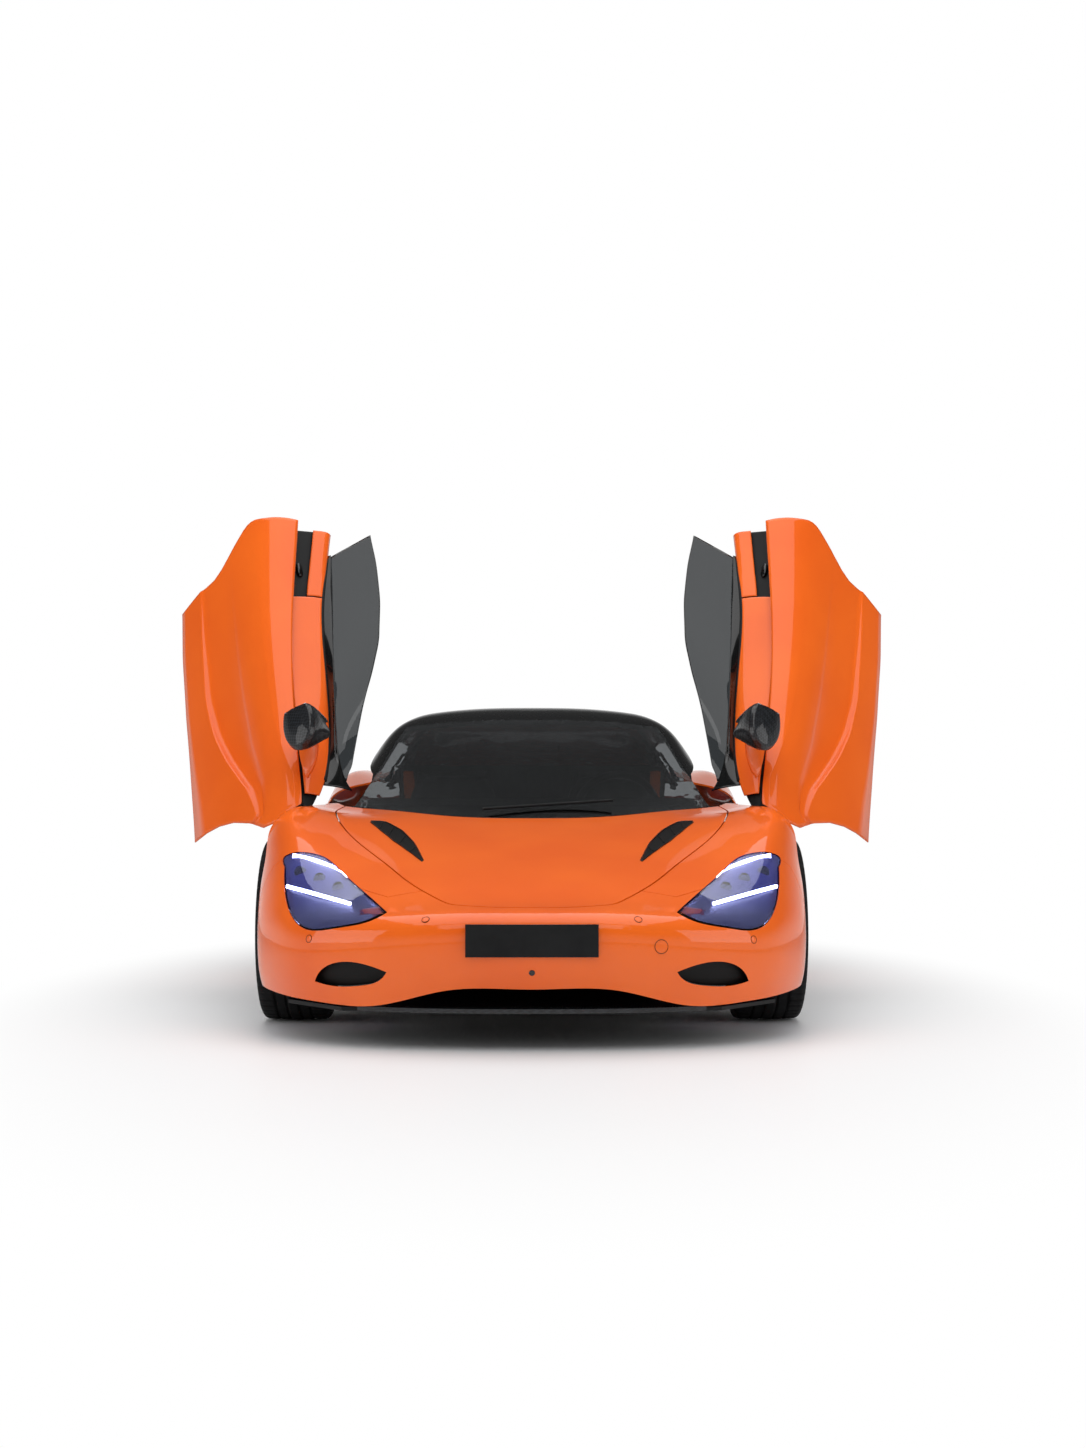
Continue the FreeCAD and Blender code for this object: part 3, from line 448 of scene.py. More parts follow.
def makeTyre(corner, look):
    # the section carried round the axle, with every sixth step cut down at both shoulders
    low, high = (np.array(point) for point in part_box("tyre_" + corner))
    rimLow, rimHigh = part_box("rim_" + corner)
    centre = (low + high) / 2
    outer = (high[2] - low[2]) / 2 - look["outerLess"]
    inner = (rimHigh.z - rimLow.z) / 2 + look["innerMore"]
    section, (first, last) = tyreSection((high[0] - low[0]) / 2 - look["widthLess"], outer, inner, look)
    count = look["blocks"] * look["samplesPerBlock"]
    turn = np.linspace(0, 2 * np.pi, count, endpoint=False)
    radius = np.repeat(section[None, :, 1], count, axis=0)
    inShoulder = np.zeros(len(section), dtype=bool)
    inShoulder[first - 5:first + 5] = True
    inShoulder[last - 5:last + 5] = True
    radius[np.ix_(np.arange(count) % look["samplesPerBlock"] == 0, inShoulder)] -= look["cutDepth"]
    across = np.repeat(section[None, :, 0], count, axis=0)
    points = np.stack([centre[0] + across, centre[1] + radius * np.cos(turn)[:, None],
                       centre[2] + radius * np.sin(turn)[:, None]], axis=2)
    faces = gridFaces(count, len(section), wrapRows=True, wrapColumns=True)
    piece = newPiece("treaded_tyre_" + corner, points, faces, rubber, "wheel_" + corner)
    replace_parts(piece, "tyre_" + corner)


for corner in corners:
    makeTyre(corner, treadLook)
print("tyres made")

# Headlamps: a light strip across each lamp, a bright cluster above it and three lens barrels
lampLook = {"strip": ((288, 887), (306, 892), (330, 899), (351, 905)), "stripHalf": (0.004, 0.0055),
            "cluster": ((293, 858), (312, 862), (332, 869), (347, 877)), "clusterHalf": (0.004, 0.012),
            "barrels": ((300, 873), (319, 880), (338, 889)), "barrelRadius": 0.02,
            "barrelDepths": (0, 0.002, 0.004, 0.03), "barrelSizes": (0.78, 0.8, 1.0, 1.0), "setBack": 0.022,
            "clusterBack": 0.02, "barrelBack": 0.012, "heart": (318, 868), "heartBack": 0.04,
            "white": "#e9ecff", "glow": "#2a22a8", "glowStrength": 0.42, "glowReach": 0.26}
lensTree = surfaceTree("headlamp_lenses")
lampWhite = litDiffuser("white_lamp_diffuser", lampLook["white"], 9.0)


# Blue glow inside the lamp, strongest beside the cluster and fading over its reach in metres
def glowingHousing(name, colour, glow, strength, heart, reach):
    material, tree, shader = newMaterial(name, colour, Roughness=0.35, **{"Emission Color": linear(glow)})
    mirrored = addNode(tree, "VectorMath", {0: objectPlace(tree)}, operation="ABSOLUTE")
    away = addNode(tree, "VectorMath", {0: mirrored.outputs["Vector"], 1: heart}, operation="DISTANCE")
    fade = addNode(tree, "MapRange", {"Value": away.outputs["Value"], "From Max": reach, "To Min": strength,
                                      "To Max": 0.05})
    tree.links.new(fade.outputs["Result"], shader.inputs["Emission Strength"])
    return material


def behindLens(pixels, depth):
    # points at a depth behind the lens, seen at these pixels
    return np.array([behindPixel(lensTree, *pixel)[0] + (0, depth, 0) for pixel in pixels])


def rectangle(half):
    # four corners, half a width and half a height from the middle
    return np.array([(-half[0], -half[1]), (half[0], -half[1]), (half[0], half[1]), (-half[0], half[1])])


def makeHeadlamp(look):
    stripPath = smoothPath(behindLens(look["strip"], look["setBack"]), 24)
    clusterPath = smoothPath(behindLens(look["cluster"], look["setBack"] + look["clusterBack"]), 16)
    strip = sweep(stripPath, rectangle(look["stripHalf"]))
    cluster = sweep(clusterPath, rectangle(look["clusterHalf"]), scales=np.linspace(1, 0.45, 16))
    outline = ringOutline(look["barrelRadius"], 20)
    inwards = np.array(look["barrelDepths"])[:, None] * (0, 1, 0)
    barrels = [sweep(centre + inwards, outline, scales=look["barrelSizes"])
               for centre in behindLens(look["barrels"], look["setBack"] + look["barrelBack"])]
    for name, part, material in (("lamp_strip", strip, lampWhite), ("lamp_cluster", cluster, lampWhite),
                                 ("lamp_barrels", joinParts(barrels), blackLacquer)):
        bothSides(name, part, material, "car", smooth=False)
    heart = np.abs(behindLens((look["heart"],), look["heartBack"])[0])
    housingGlow = glowingHousing("glowing_lamp_housing", "#03030f", look["glow"], look["glowStrength"],
                                 tuple(heart), look["glowReach"])
    setFinish("headlamp_housings", housingGlow)


makeHeadlamp(lampLook)
print("headlamps made")

# Small round parts on the nose: parking sensors, towing eye cover and a camera
noseLook = {"sensors": ((310, 938), (426, 919), (638, 919), (753, 939)), "sensorRadius": 0.011,
            "sensorHeight": 0.0008, "gap": 0.0006, "gapWidth": 0.0012, "towCover": (661, 946),
            "towRadius": 0.021, "towGap": 0.0013, "camera": (532, 972), "cameraRadius": 0.0095,
            "cameraHeight": 0.0015, "sunk": 0.001, "ringRise": 0.0007}
noseTree = surfaceTree("front_bumper", "front_fenders")


def disc(centre, normal, radius, height, look, bevel=0.25):
    # a low button that stands on a surface with its edge rounded off
    path = centre + np.array([-look["sunk"], height * 0.6, height])[:, None] * normal
    return sweep(path, ringOutline(radius, 32), up=(1, 0, 0.01), scales=(1, 1, 1 - bevel))


def ringOn(centre, normal, radius, width, look):
    # a thin closed ring lying on the surface
    first = unit(np.cross(normal, (0, 0, 1)))
    second = np.cross(normal, first)
    turn = np.linspace(0, 2 * np.pi, 40, endpoint=False)[:, None]
    direction = np.cos(turn) * first + np.sin(turn) * second
    rows = [centre + direction * (radius + shift) + normal * rise
            for shift, rise in ((0, -look["sunk"]), (0, look["ringRise"]), (width, look["ringRise"]),
                                (width, -look["sunk"]))]
    return np.stack(rows), gridFaces(4, 40, wrapRows=True, wrapColumns=True)


def makeNoseParts(look):
    buttons, rings = [], []
    for pixel in look["sensors"]:
        place = behindPixel(noseTree, *pixel)
        buttons.append(disc(*place, look["sensorRadius"], look["sensorHeight"], look, bevel=0.1))
        rings.append(ringOn(*place, look["sensorRadius"] + look["gap"], look["gapWidth"], look))
    rings.append(ringOn(*behindPixel(noseTree, *look["towCover"]), look["towRadius"], look["towGap"], look))
    newPiece("parking_sensors", *joinParts(buttons), orangeLacquer, "car")
    # these rings carry the painted shade of the gaps
    newPiece("nose_gap_rings", *joinParts(rings), gapShade, "car")
    camera = disc(*behindPixel(noseTree, *look["camera"]), look["cameraRadius"], look["cameraHeight"], look)
    newPiece("nose_camera", *camera, blackLacquer, "car")


# dark orange-brown rings: painted shade in the gaps round the parking sensors and the towing eye cover
gapShade = mouldedBlack("painted_gap_shade", "#1c0d06")
makeNoseParts(noseLook)
print("nose parts made")

# Doors: worked out closed on the car's right side, then turned open about the hinge.
# Lines are (station behind the front axle, height, depth or place across the car) in metres, but the
# rear lines are (height, station). The rows are (height from the crease or spear line, share of the hollow).
doorLook = {"axis": (-0.680371, -0.555303, -0.478261), "anchor": (-0.832, -0.86535, 0.755), "openDegrees": 80,
            "centre": (-0.50, 0.50), "columns": 110, "skin": 0.004, "innerGap": 0.006, "shutGap": 0.006,
            "foot": ((0.30, 0.236), (0.632, 0.229), (0.955, 0.228), (1.23, 0.242), (1.435, 0.271)),
            "oldFoot": ((0.30, 0.152), (1.44, 0.224)),
            "rear": ((0.271, 1.435), (0.395, 1.486), (0.482, 1.507), (0.593, 1.603), (0.664, 1.663),
                     (0.703, 1.677), (0.76, 1.666), (0.80, 1.659), (0.818, 1.656), (0.88, 1.650)),
            "oldRear": ((0.222, 1.44), (0.367, 1.516), (0.60, 1.65), (0.806, 1.734), (0.87, 1.702)),
            "top": ((0.30, 0.60), (0.318, 0.68), (0.352, 0.742), (0.425, 0.79), (0.49, 0.808), (0.70, 0.822),
                    (1.10, 0.838), (1.56, 0.862), (1.70, 0.872)),
            "crease": ((0.20, 0.72), (0.342, 0.64), (0.51, 0.52), (0.676, 0.428), (0.814, 0.375),
                       (0.988, 0.35), (1.262, 0.365), (1.489, 0.389), (1.82, 0.44)),
            "spear": ((0.20, 0.76), (0.416, 0.64), (0.517, 0.598), (0.689, 0.556), (0.902, 0.54),
                      (1.109, 0.54), (1.489, 0.56), (1.82, 0.62)),
            "hollow": ((0.20, 0.003), (0.342, 0.009), (0.51, 0.027), (0.676, 0.034), (0.814, 0.031),
                       (0.988, 0.024), (1.262, 0.014), (1.489, 0.008), (1.82, 0.004)),
            "channel": ((0.20, 0), (0.48, 0), (0.64, 0.006), (0.88, 0.026), (1.195, 0.040), (1.60, 0.052)),
            "seam": ((0.20, -0.905), (0.426, -0.884), (0.627, -0.874), (0.876, -0.866), (1.195, -0.852),
                     (1.466, -0.841), (1.604, -0.836), (1.82, -0.83)),
            "belt": ((0.449, -0.752), (0.70, -0.737), (1.0, -0.722), (1.34, -0.707), (1.64, -0.692)),
            "creaseRows": ((-0.026, 0), (-0.012, 0), (-0.004, 0), (0, 0), (0.004, 0.3), (0.009, 0.62),
                           (0.014, 0.8), (0.020, 0.93), (0.026, 0.98), (0.032, 1)),
            "spearRows": ((-0.014, 0.8), (-0.007, 0.72), (0, 0.62), (0.007, 0.55), (0.014, 0.5),
                          (0.027, 0.41), (0.040, 0.33), (0.060, 0.23), (0.080, 0.15), (0.1, 0.09),
                          (0.120, 0.05)),
            "spearGap": 0.044, "rowGap": 0.046, "seamRows": 15, "underTop": 0.002, "underSeam": 0.02,
            "fitStations": (0.3, 1.73), "fitDegrees": (-42, 62), "leastReach": 0.2, "middle": 1.0,
            "searchDegrees": (-44, 66), "frontStation": 0.304, "archGap": 0.001, "guess": (0.3, 1.36),
            "duct": 1.33, "ductLap": 0.006, "ductRow": 6, "ductDepth": 0.014, "stripEnds": (0.34, 1.645),
            "stripFront": 0.41, "stripLap": 0.012, "straightFrom": 1.44, "runColumns": 12,
            "latch": (-0.790, 1.455, 0.79), "latchRise": (0, 0.008, 0.011), "latchRadius": 0.034,
            "sealEnds": (0.48, 1.53), "sealShift": (0.006, 0, -0.008), "sealRadius": 0.016,
            "trimDepth": 0.012, "trimSwell": 0.06, "trimLimit": -0.76, "trimLeast": 0.004,
            "sillGap": 0.004, "sillEnd": 1.43, "bandHeights": (0.268, 0.81), "bandLap": 0.001}


def onLine(line, place):
    # value on straight runs between the line's points
    return np.interp(place, *np.array(line).T)


def follow(line, station):
    # the same, rounded over 40 mm each way by averaging
    return np.mean([onLine(line, station + shift) for shift in np.linspace(-0.04, 0.04, 9)], axis=0)


def turnAbout(points, look, degrees):
    # Rodrigues: p cos a + (k x p) sin a + k (k . p)(1 - cos a), about the anchor
    axis = unit(np.array(look["axis"]))
    offset = np.asarray(points) - look["anchor"]
    angle = math.radians(degrees)
    along = (offset @ axis)[..., None] * axis
    return (offset * math.cos(angle) + np.cross(axis, offset) * math.sin(angle)
            + along * (1 - math.cos(angle)) + look["anchor"])


def closedMesh(name, look):
    # a door solid turned closed: its points, and a tree that rays can hit
    mesh = nodes[name].data
    points = turnAbout(vertexArray(mesh), look, look["openDegrees"])
    return points, BVHTree.FromPolygons(points.tolist(), [list(face.vertices) for face in mesh.polygons])


def surfaceFit(first, second, value, degree, limit):
    # least squares over the products of Chebyshev polynomials of two coordinates
    terms = chebyshev.chebvander2d(first, second, (degree, degree))
    return np.linalg.lstsq(terms, value, rcond=limit)[0].reshape(degree + 1, degree + 1)


def fitSkin(look):
    # distance of the closed skin from an inner axis, as a surface of station and angle
    points, tree = closedMesh("door_right_skin", look)
    found = []
    for station in np.linspace(*look["fitStations"], 100):
        for angle in np.radians(np.linspace(*look["fitDegrees"], 80)):
            way = Vector((-math.cos(angle), 0, math.sin(angle)))
            heart = Vector((look["centre"][0], frontAxleY + station, look["centre"][1]))
            place = tree.ray_cast(heart + way, -way)[0]
            if place is not None and (place - heart).length > look["leastReach"]:
                found.append((station, angle, (place - heart).length))
    station, angle, distance = np.array(found).T
    return points, surfaceFit(station - look["middle"], angle, distance, 9, 1e-9)


skinPoints, skinFit = fitSkin(doorLook)
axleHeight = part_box("tyre_front_left")[1].z / 2
archRadius = float(np.hypot(skinPoints[:, 1] - frontAxleY, skinPoints[:, 2] - axleHeight).min())


def skinPoint(station, angle, look):
    # out from the inner axis by the fitted distance, at an angle above the level
    distance = chebyshev.chebval2d(station - look["middle"], angle, skinFit)
    return np.stack([look["centre"][0] - distance * np.cos(angle), frontAxleY + station,
                     look["centre"][1] + distance * np.sin(angle)], axis=-1)


def angleWhere(station, target, column, look):
    # bisection for the angle at which one coordinate of the section reaches a value
    shape = np.broadcast(station, target).shape
    low, high = (np.full(shape, math.radians(degrees)) for degrees in look["searchDegrees"])
    station = np.broadcast_to(station, shape)
    for _ in range(26):
        middle = (low + high) / 2
        short = skinPoint(station, middle, look)[..., column] < target
        low, high = np.where(short, middle, low), np.where(short, high, middle)
    return (low + high) / 2


def frontStation(height, look):
    # the door's front edge: upright line and wheel-arch circle
    reach = np.sqrt(np.maximum((archRadius + look["archGap"]) ** 2 - (height - axleHeight) ** 2, 0))
    return np.maximum(look["frontStation"], reach)


def sectionHeights(station, look):
    # rows of the outer panel: the sill blade, the crease, the hollow and the spear line above it
    crease, spear = follow(look["crease"], station), follow(look["spear"], station)
    spear = np.maximum(spear, crease + look["spearGap"])
    start = follow(look["foot"], station)
    below, above = look["creaseRows"][0][0], look["creaseRows"][-1][0]
    gap = spear - crease - look["rowGap"]
    marks = ([(start + (crease + below - start) * share, 0) for share in (0, 0.25, 0.5, 0.75)]
             + [(crease + rise, part) for rise, part in look["creaseRows"]]
             + [(crease + above + gap * share, 0.99) for share in (0.33, 0.66)]
             + [(spear + rise, part) for rise, part in look["spearRows"]])
    heights = np.stack([np.broadcast_to(height, station.shape) for height, _ in marks])
    return heights, np.array([part for _, part in marks])


def outerPanel(look):
    # grid from the sill up to the seam; stations run from the front edge to the rear edge of each row
    share = np.linspace(0, 1, look["columns"])
    depthShare = sectionHeights(share, look)[1]
    low = len(depthShare)
    rise = np.linspace(0, 1, look["seamRows"] + 1)[1:]
    station = np.tile(look["guess"][0] + look["guess"][1] * share, (low + len(rise), 1))
    for _ in range(5):
        rows = np.stack([sectionHeights(station[row], look)[0][row] for row in range(low)])
        top = follow(look["top"], station) - look["underTop"]
        seamAngle = np.minimum(angleWhere(station, follow(look["seam"], station), 0, look),
                               angleWhere(station, top, 2, look))
        ceiling = skinPoint(station, seamAngle, look)[:low, :, 2] - look["underSeam"]
        foot = follow(look["foot"], station)[:low]
        squeeze = np.minimum(1, (ceiling - foot) / (rows[-1:] - foot))
        angle = np.empty(station.shape)
        angle[:low] = angleWhere(station[:low], foot + (rows - foot) * squeeze, 2, look)
        angle[low:] = angle[low - 1] + (seamAngle[low:] - angle[low - 1]) * rise[:, None]
        height = skinPoint(station, angle, look)[..., 2]
        front, rear = frontStation(height[:, :1], look), onLine(look["rear"], height[:, -1:])
        station = front + (rear - front) * share
    points = skinPoint(station, angle, look)
    points[:low, :, 0] += depthShare[:, None] * follow(look["hollow"], station[:low])
    return points


def stripPanel(look):
    # the sunk strip between the seam and the glass: z = body - channel depth * slope^2 * sqrt(2 - slope);
    # both edges are cubic curves of the station, and the last stretch runs on straight
    line = np.linspace(*look["stripEnds"], 200)
    bounded = np.minimum(line, look["straightFrom"])
    share = np.linspace(0, 1, 14)[:, None]
    seam = angleWhere(bounded, follow(look["seam"], bounded) + look["stripLap"], 0, look)
    belt = np.minimum(angleWhere(bounded, follow(look["belt"], bounded), 0, look),
                      angleWhere(bounded, follow(look["top"], bounded), 2, look))
    seam, belt = (np.polyval(np.polyfit(bounded, edge, 3), bounded) for edge in (seam, belt))
    station = np.tile(bounded, (len(share), 1))
    points = skinPoint(station, seam + (belt - seam) * share, look)
    slope = 1 - share
    points[..., 2] -= follow(look["channel"], station) * slope ** 2 * (2 - slope) ** 0.5
    last = int(np.searchsorted(line, look["straightFrom"])) - 1
    before = last - look["runColumns"]
    run = (points[:, last] - points[:, before]) / (line[last] - line[before])
    return points + run[:, None] * (line - bounded)[None, :, None], line


def closedSlab(outer, inner):
    # two grids of the same size joined round their edges
    rows, columns = outer.shape[:2]
    count = rows * columns
    front = gridFaces(rows, columns)
    number = np.arange(count).reshape(rows, columns)
    rim = np.concatenate([number[0], number[1:, -1], number[-1, -2::-1], number[-2:0:-1, 0]]).tolist()
    walls = [[first, second, second + count, first + count] for first, second in zip(rim, rim[1:] + rim[:1])]
    return (np.concatenate([outer.reshape(-1, 3), inner.reshape(-1, 3)]),
            front + [[count + index for index in face[::-1]] for face in front] + walls)


def slab(surface, thickness, heart=None):
    # a grid thickened against its own normal, or towards the heart where one is given
    normal = unit(np.cross(np.gradient(surface, axis=0), np.gradient(surface, axis=1)))
    if heart is not None and (normal * (surface - heart)).sum() < 0:
        normal = -normal
    return closedSlab(surface, surface - normal * thickness)


def onDoor(name, part, material, look, replaced=None):
    # both sides of a piece that is worked out closed on the right door
    points = turnAbout(part[0], look, -look["openDegrees"])
    for side, places in (("right", points), ("left", flipped(points))):
        piece = newPiece(name + "_" + side, places, part[1], material, "door_" + side)
        if replaced:
            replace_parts(piece, "door_" + side + "_" + replaced)


def innerPanel(panel, look):
    # behind the skin: its outer face follows the skin, its inner face swells towards the cabin
    outer = panel[1:-4, 2:-2].copy()
    outer[..., 0] += look["skin"] + look["innerGap"]
    rows, columns = outer.shape[:2]
    up = np.linspace(0, 1, rows)[:, None]
    along = np.linspace(0, 1, columns)[None, :]
    bulge = (np.sin(np.pi * up) * np.sin(np.pi * along)) ** 0.35
    inner = outer.copy()
    depth = look["trimDepth"] + look["trimSwell"] * bulge
    inner[..., 0] = np.minimum(outer[..., 0] + depth, look["trimLimit"])
    inner[..., 0] = np.maximum(inner[..., 0], outer[..., 0] + look["trimLeast"])
    return closedSlab(outer, inner)


def quarterBand(look):
    # the shell between the new door's rear edge and the solid door's, which stays on the car
    heights = np.linspace(*look["bandHeights"], 40)[:, None]
    low = onLine(look["rear"], heights) + look["shutGap"]
    high = onLine(look["oldRear"], heights) - look["bandLap"]
    station = low + (high - low) * np.linspace(0, 1, 10)
    return skinPoint(station, angleWhere(station, heights, 2, look), look)


def sillBand(look):
    # the shell between the foot of the solid door and the new door's foot, which stays on the car too
    share = np.linspace(0, 1, 8)[:, None]
    station = np.tile(np.linspace(archRadius + look["sillGap"], look["sillEnd"], 80), (8, 1))
    low = follow(look["oldFoot"], station) + look["sillGap"]
    high = follow(look["foot"], station) - look["shutGap"]
    angle = angleWhere(station, low + (high - low) * share, 2, look)
    return skinPoint(station, angle, look)


def makeDoors(look):
    heart = np.array((look["centre"][0], frontAxleY + look["middle"], look["centre"][1]))
    skin = look["skin"]
    panel = outerPanel(look)
    onDoor("door_panel", slab(panel, skin, heart), orangeLacquer, look, "skin")
    strip, line = stripPanel(look)
    front, rear = (line > look["stripFront"]) & (line <= look["duct"]), line > look["duct"] - look["ductLap"]
    onDoor("door_strip", slab(strip[:, front], skin, heart), orangeLacquer, look, "skin")
    onDoor("door_strip_edge", slab(strip[look["ductRow"]:, rear], skin, heart), orangeLacquer, look, "skin")
    onDoor("door_duct", slab(strip - (0, 0, look["ductDepth"]), skin, heart), blackPlastic, look)
    onDoor("door_trim", innerPanel(panel, look), blackPlastic, look, "inner")
    path = np.array(look["latch"]) + (0, frontAxleY, 0) + np.array(look["latchRise"])[:, None] * (0, 0, 1)
    latch = sweep(path, ringOutline(look["latchRadius"], 28, 0.5), up=(1, 0, 0.01), scales=(1, 1, 0.85))
    onDoor("door_latch", latch, blackLacquer, look)
    sealed = (line > look["sealEnds"][0]) & (line < look["sealEnds"][1])
    rail = strip[-1, sealed][::2] + look["sealShift"]
    onDoor("belt_seal", sweep(rail, ringOutline(look["sealRadius"], 12, 0.7)), blackPlastic, look)
    bothSides("sill_band", slab(sillBand(look), skin, heart), carbonWeave, "car")
    bothSides("quarter_band", slab(quarterBand(look), skin, heart), orangeLacquer, "car")


makeDoors(doorLook)
print("doors made")

# Door glass: a smooth sheet fitted through the solid glass, its outline drawn closed in the side view.
# Foot and head are (station, height), the rear lines (height, station), as for the doors.
glassLook = {"foot": ((0.494, 0.808), (0.70, 0.824), (1.10, 0.840), (1.53, 0.862), (1.60, 0.866)),
             "head": ((0.50, 0.812), (0.53, 0.836), (0.572, 0.85), (0.688, 0.892), (0.819, 0.938),
                      (0.939, 0.984), (1.072, 1.02), (1.268, 1.034), (1.473, 1.032), (1.614, 1.021)),
             "rear": ((0.862, 1.534), (0.909, 1.56), (1.021, 1.612)), "thickness": 0.004,
             "columns": 90, "rows": 24, "front": 0.5, "guess": 1.08, "fitStations": (0.5, 1.7),
             "fitHeights": (0.80, 1.04), "mouldingEnds": (0.46, 1.545), "mouldingLower": (0, 0, -0.003),
             "mouldingUpper": (-0.007, 0, 0.012), "mouldingBow": 0.006, "mouldingThickness": 0.003,
             "quarterHeights": (0.888, 1.018), "quarterRear": ((0.872, 1.700), (1.02, 1.678)),
             "quarterGap": 0.008, "quarterLap": 0.001, "heart": (0, 1.1, 0.7)}


def glassPlace(station, height):
    # both coordinates brought near the range from -1 to 1 for the fit
    return station - 1.1, (height - 0.92) * 4


def fitGlass(look):
    # inward position of the closed glass, as a surface of station and height
    tree = closedMesh("door_right_glass", doorLook)[1]
    found = []
    for station in np.linspace(*look["fitStations"], 70):
        for height in np.linspace(*look["fitHeights"], 40):
            place = tree.ray_cast(Vector((-1.5, frontAxleY + station, height)), Vector((1, 0, 0)))[0]
            if place is not None:
                found.append((station, height, place.x))
    station, height, inward = np.array(found).T
    return surfaceFit(*glassPlace(station, height), inward, 5, 1e-8)


def glassPoints(station, height, fit):
    # the fitted inward position at each station and height
    inward = chebyshev.chebval2d(*glassPlace(station, height), fit)
    return np.stack([inward, frontAxleY + station, height], axis=-1)


def glassSheet(look, fit):
    # grid from the foot to the head; stations run from the front point to the rear edge of each row
    rise = np.linspace(0, 1, look["rows"])[:, None]
    share = np.linspace(0, 1, look["columns"])
    station = np.tile(look["front"] + look["guess"] * share, (look["rows"], 1))
    for _ in range(6):
        low, high = onLine(look["foot"], station), follow(look["head"], station)
        height = low + (np.maximum(high, low + 0.001) - low) * rise
        rear = onLine(look["rear"], height[:, -1:])
        station = look["front"] + (rear - look["front"]) * share
    return glassPoints(station, height, fit)


def beltMoulding(look, fit):
    # a ruled band between the strip's upper edge and the foot of the glass, bowed upwards
    strip, line = stripPanel(doorLook)
    kept = (line > look["mouldingEnds"][0]) & (line < look["mouldingEnds"][1])
    out, _, lift = look["mouldingUpper"]
    lower = strip[-1, kept] + look["mouldingLower"]
    upper = glassPoints(line[kept], onLine(look["foot"], line[kept]) + lift, fit) + (out, 0, 0)
    share = np.linspace(0, 1, 8)[:, None]
    ruled = lower + (upper - lower) * share[..., None]
    ruled[..., 2] += look["mouldingBow"] * np.sin(np.pi * share)
    return ruled


def quarterLight(look, fit):
    # fixed pane behind the door glass
    height = np.tile(np.linspace(*look["quarterHeights"], 20)[:, None], (1, 8))
    start = onLine(look["rear"], height) + look["quarterGap"]
    end = onLine(look["quarterRear"], height) - look["quarterLap"]
    return glassPoints(start + (end - start) * np.linspace(0, 1, 8), height, fit)


def makeDoorGlass(look):
    fit = fitGlass(look)
    heart = np.array(look["heart"]) + (0, frontAxleY, 0)
    onDoor("door_glass", slab(glassSheet(look, fit), look["thickness"], heart), sideGlass, doorLook, "glass")
    onDoor("belt_moulding", slab(beltMoulding(look, fit), look["mouldingThickness"], heart), blackLacquer,
           doorLook)
    bothSides("quarter_light", slab(quarterLight(look, fit), look["thickness"], heart), blackLacquer, "car")


makeDoorGlass(glassLook)
print("door glass made")

# Mirrors: a shield-shaped carbon shell, wide outboard and pointed at the door, on an orange leaf foot
mirrorLook = {"out": (0.0, 0.012, 0.03, 0.06, 0.10, 0.14, 0.17, 0.188, 0.195),
              "high": (0.004, 0.020, 0.030, 0.042, 0.056, 0.066, 0.070, 0.064, 0.036),
              "deep": (0.004, 0.020, 0.032, 0.054, 0.084, 0.110, 0.122, 0.110, 0.060),
              "start": (-0.880, 0.600, 0.900), "flat": 0.048, "skew": 0.15, "glassHigh": 0.8,
              "glassBack": 0.002, "glassThickness": 0.002, "edge": 4,
              "foot": ((-0.878, 0.548, 0.770), (-0.884, 0.552, 0.800), (-0.900, 0.570, 0.845),
                       (-0.925, 0.590, 0.880)), "footSize": (1.0, 0.8, 0.5, 0.34), "footHalf": (0.085, 0.018)}


def makeMirrors(look):
    # section at distance out: x = start - out, the rest an ellipse cut flat behind for the glass
    count = 40
    start = np.array(look["start"]) + (0, frontAxleY, 0)
    share = np.linspace(0, len(look["out"]) - 1, count)
    number = np.arange(len(look["out"]))
    out, high, deep = (np.interp(share, number, look[name])[:, None] for name in ("out", "high", "deep"))
    turn = np.linspace(0, 2 * np.pi, count, endpoint=False)
    across = np.minimum(-deep * np.cos(turn), look["flat"])
    points = start + np.stack([np.tile(-out, (1, count)), across,
                               high * np.sin(turn) * (1 + look["skew"] * np.cos(turn))], axis=-1)
    onDoor("mirror_shell", (points.reshape(-1, 3), tubeFaces(count, count)), carbonWeave, doorLook, "mirror")
    inside = slice(look["edge"], -look["edge"])
    rise = high[inside] * look["glassHigh"] * np.linspace(-1, 1, 12)
    back = np.full(rise.shape, look["flat"] + look["glassBack"])
    glass = start + np.stack([np.broadcast_to(-out[inside], rise.shape), back, rise], axis=-1)
    onDoor("mirror_glass", slab(glass, look["glassThickness"]), mirrorSilver, doorLook)
    path = smoothPath(np.array(look["foot"]) + (0, frontAxleY, 0), 20)
    size = np.interp(np.linspace(0, 3, 20), range(4), look["footSize"])
    leaf = ringOutline(look["footHalf"][1], 24, look["footHalf"][0] / look["footHalf"][1])
    onDoor("mirror_foot", sweep(path, leaf, up=(0, 1, 0), scales=size), orangeLacquer, doorLook)


mirrorSilver = castAlloy("silvered_mirror_glass", "#c8ccd0", 0.06)
makeMirrors(mirrorLook)
print("mirrors made")

# Bonnet outlets: dark leaf-shaped louvres lying on the bonnet, placed by the photograph's view
ventLook = {"line": ((371, 822), (384, 827), (398, 836), (411, 847), (423, 861)),
            "half": (0.6, 5.0, 6.6, 5.0, 0.8), "rows": 40, "columns": 9, "proud": 0.0012, "thickness": 0.002,
            "rimRadius": 0.0022, "rimLift": 1.5, "blades": 4, "bladeEnds": (8, 31), "bladeLift": 2.2}


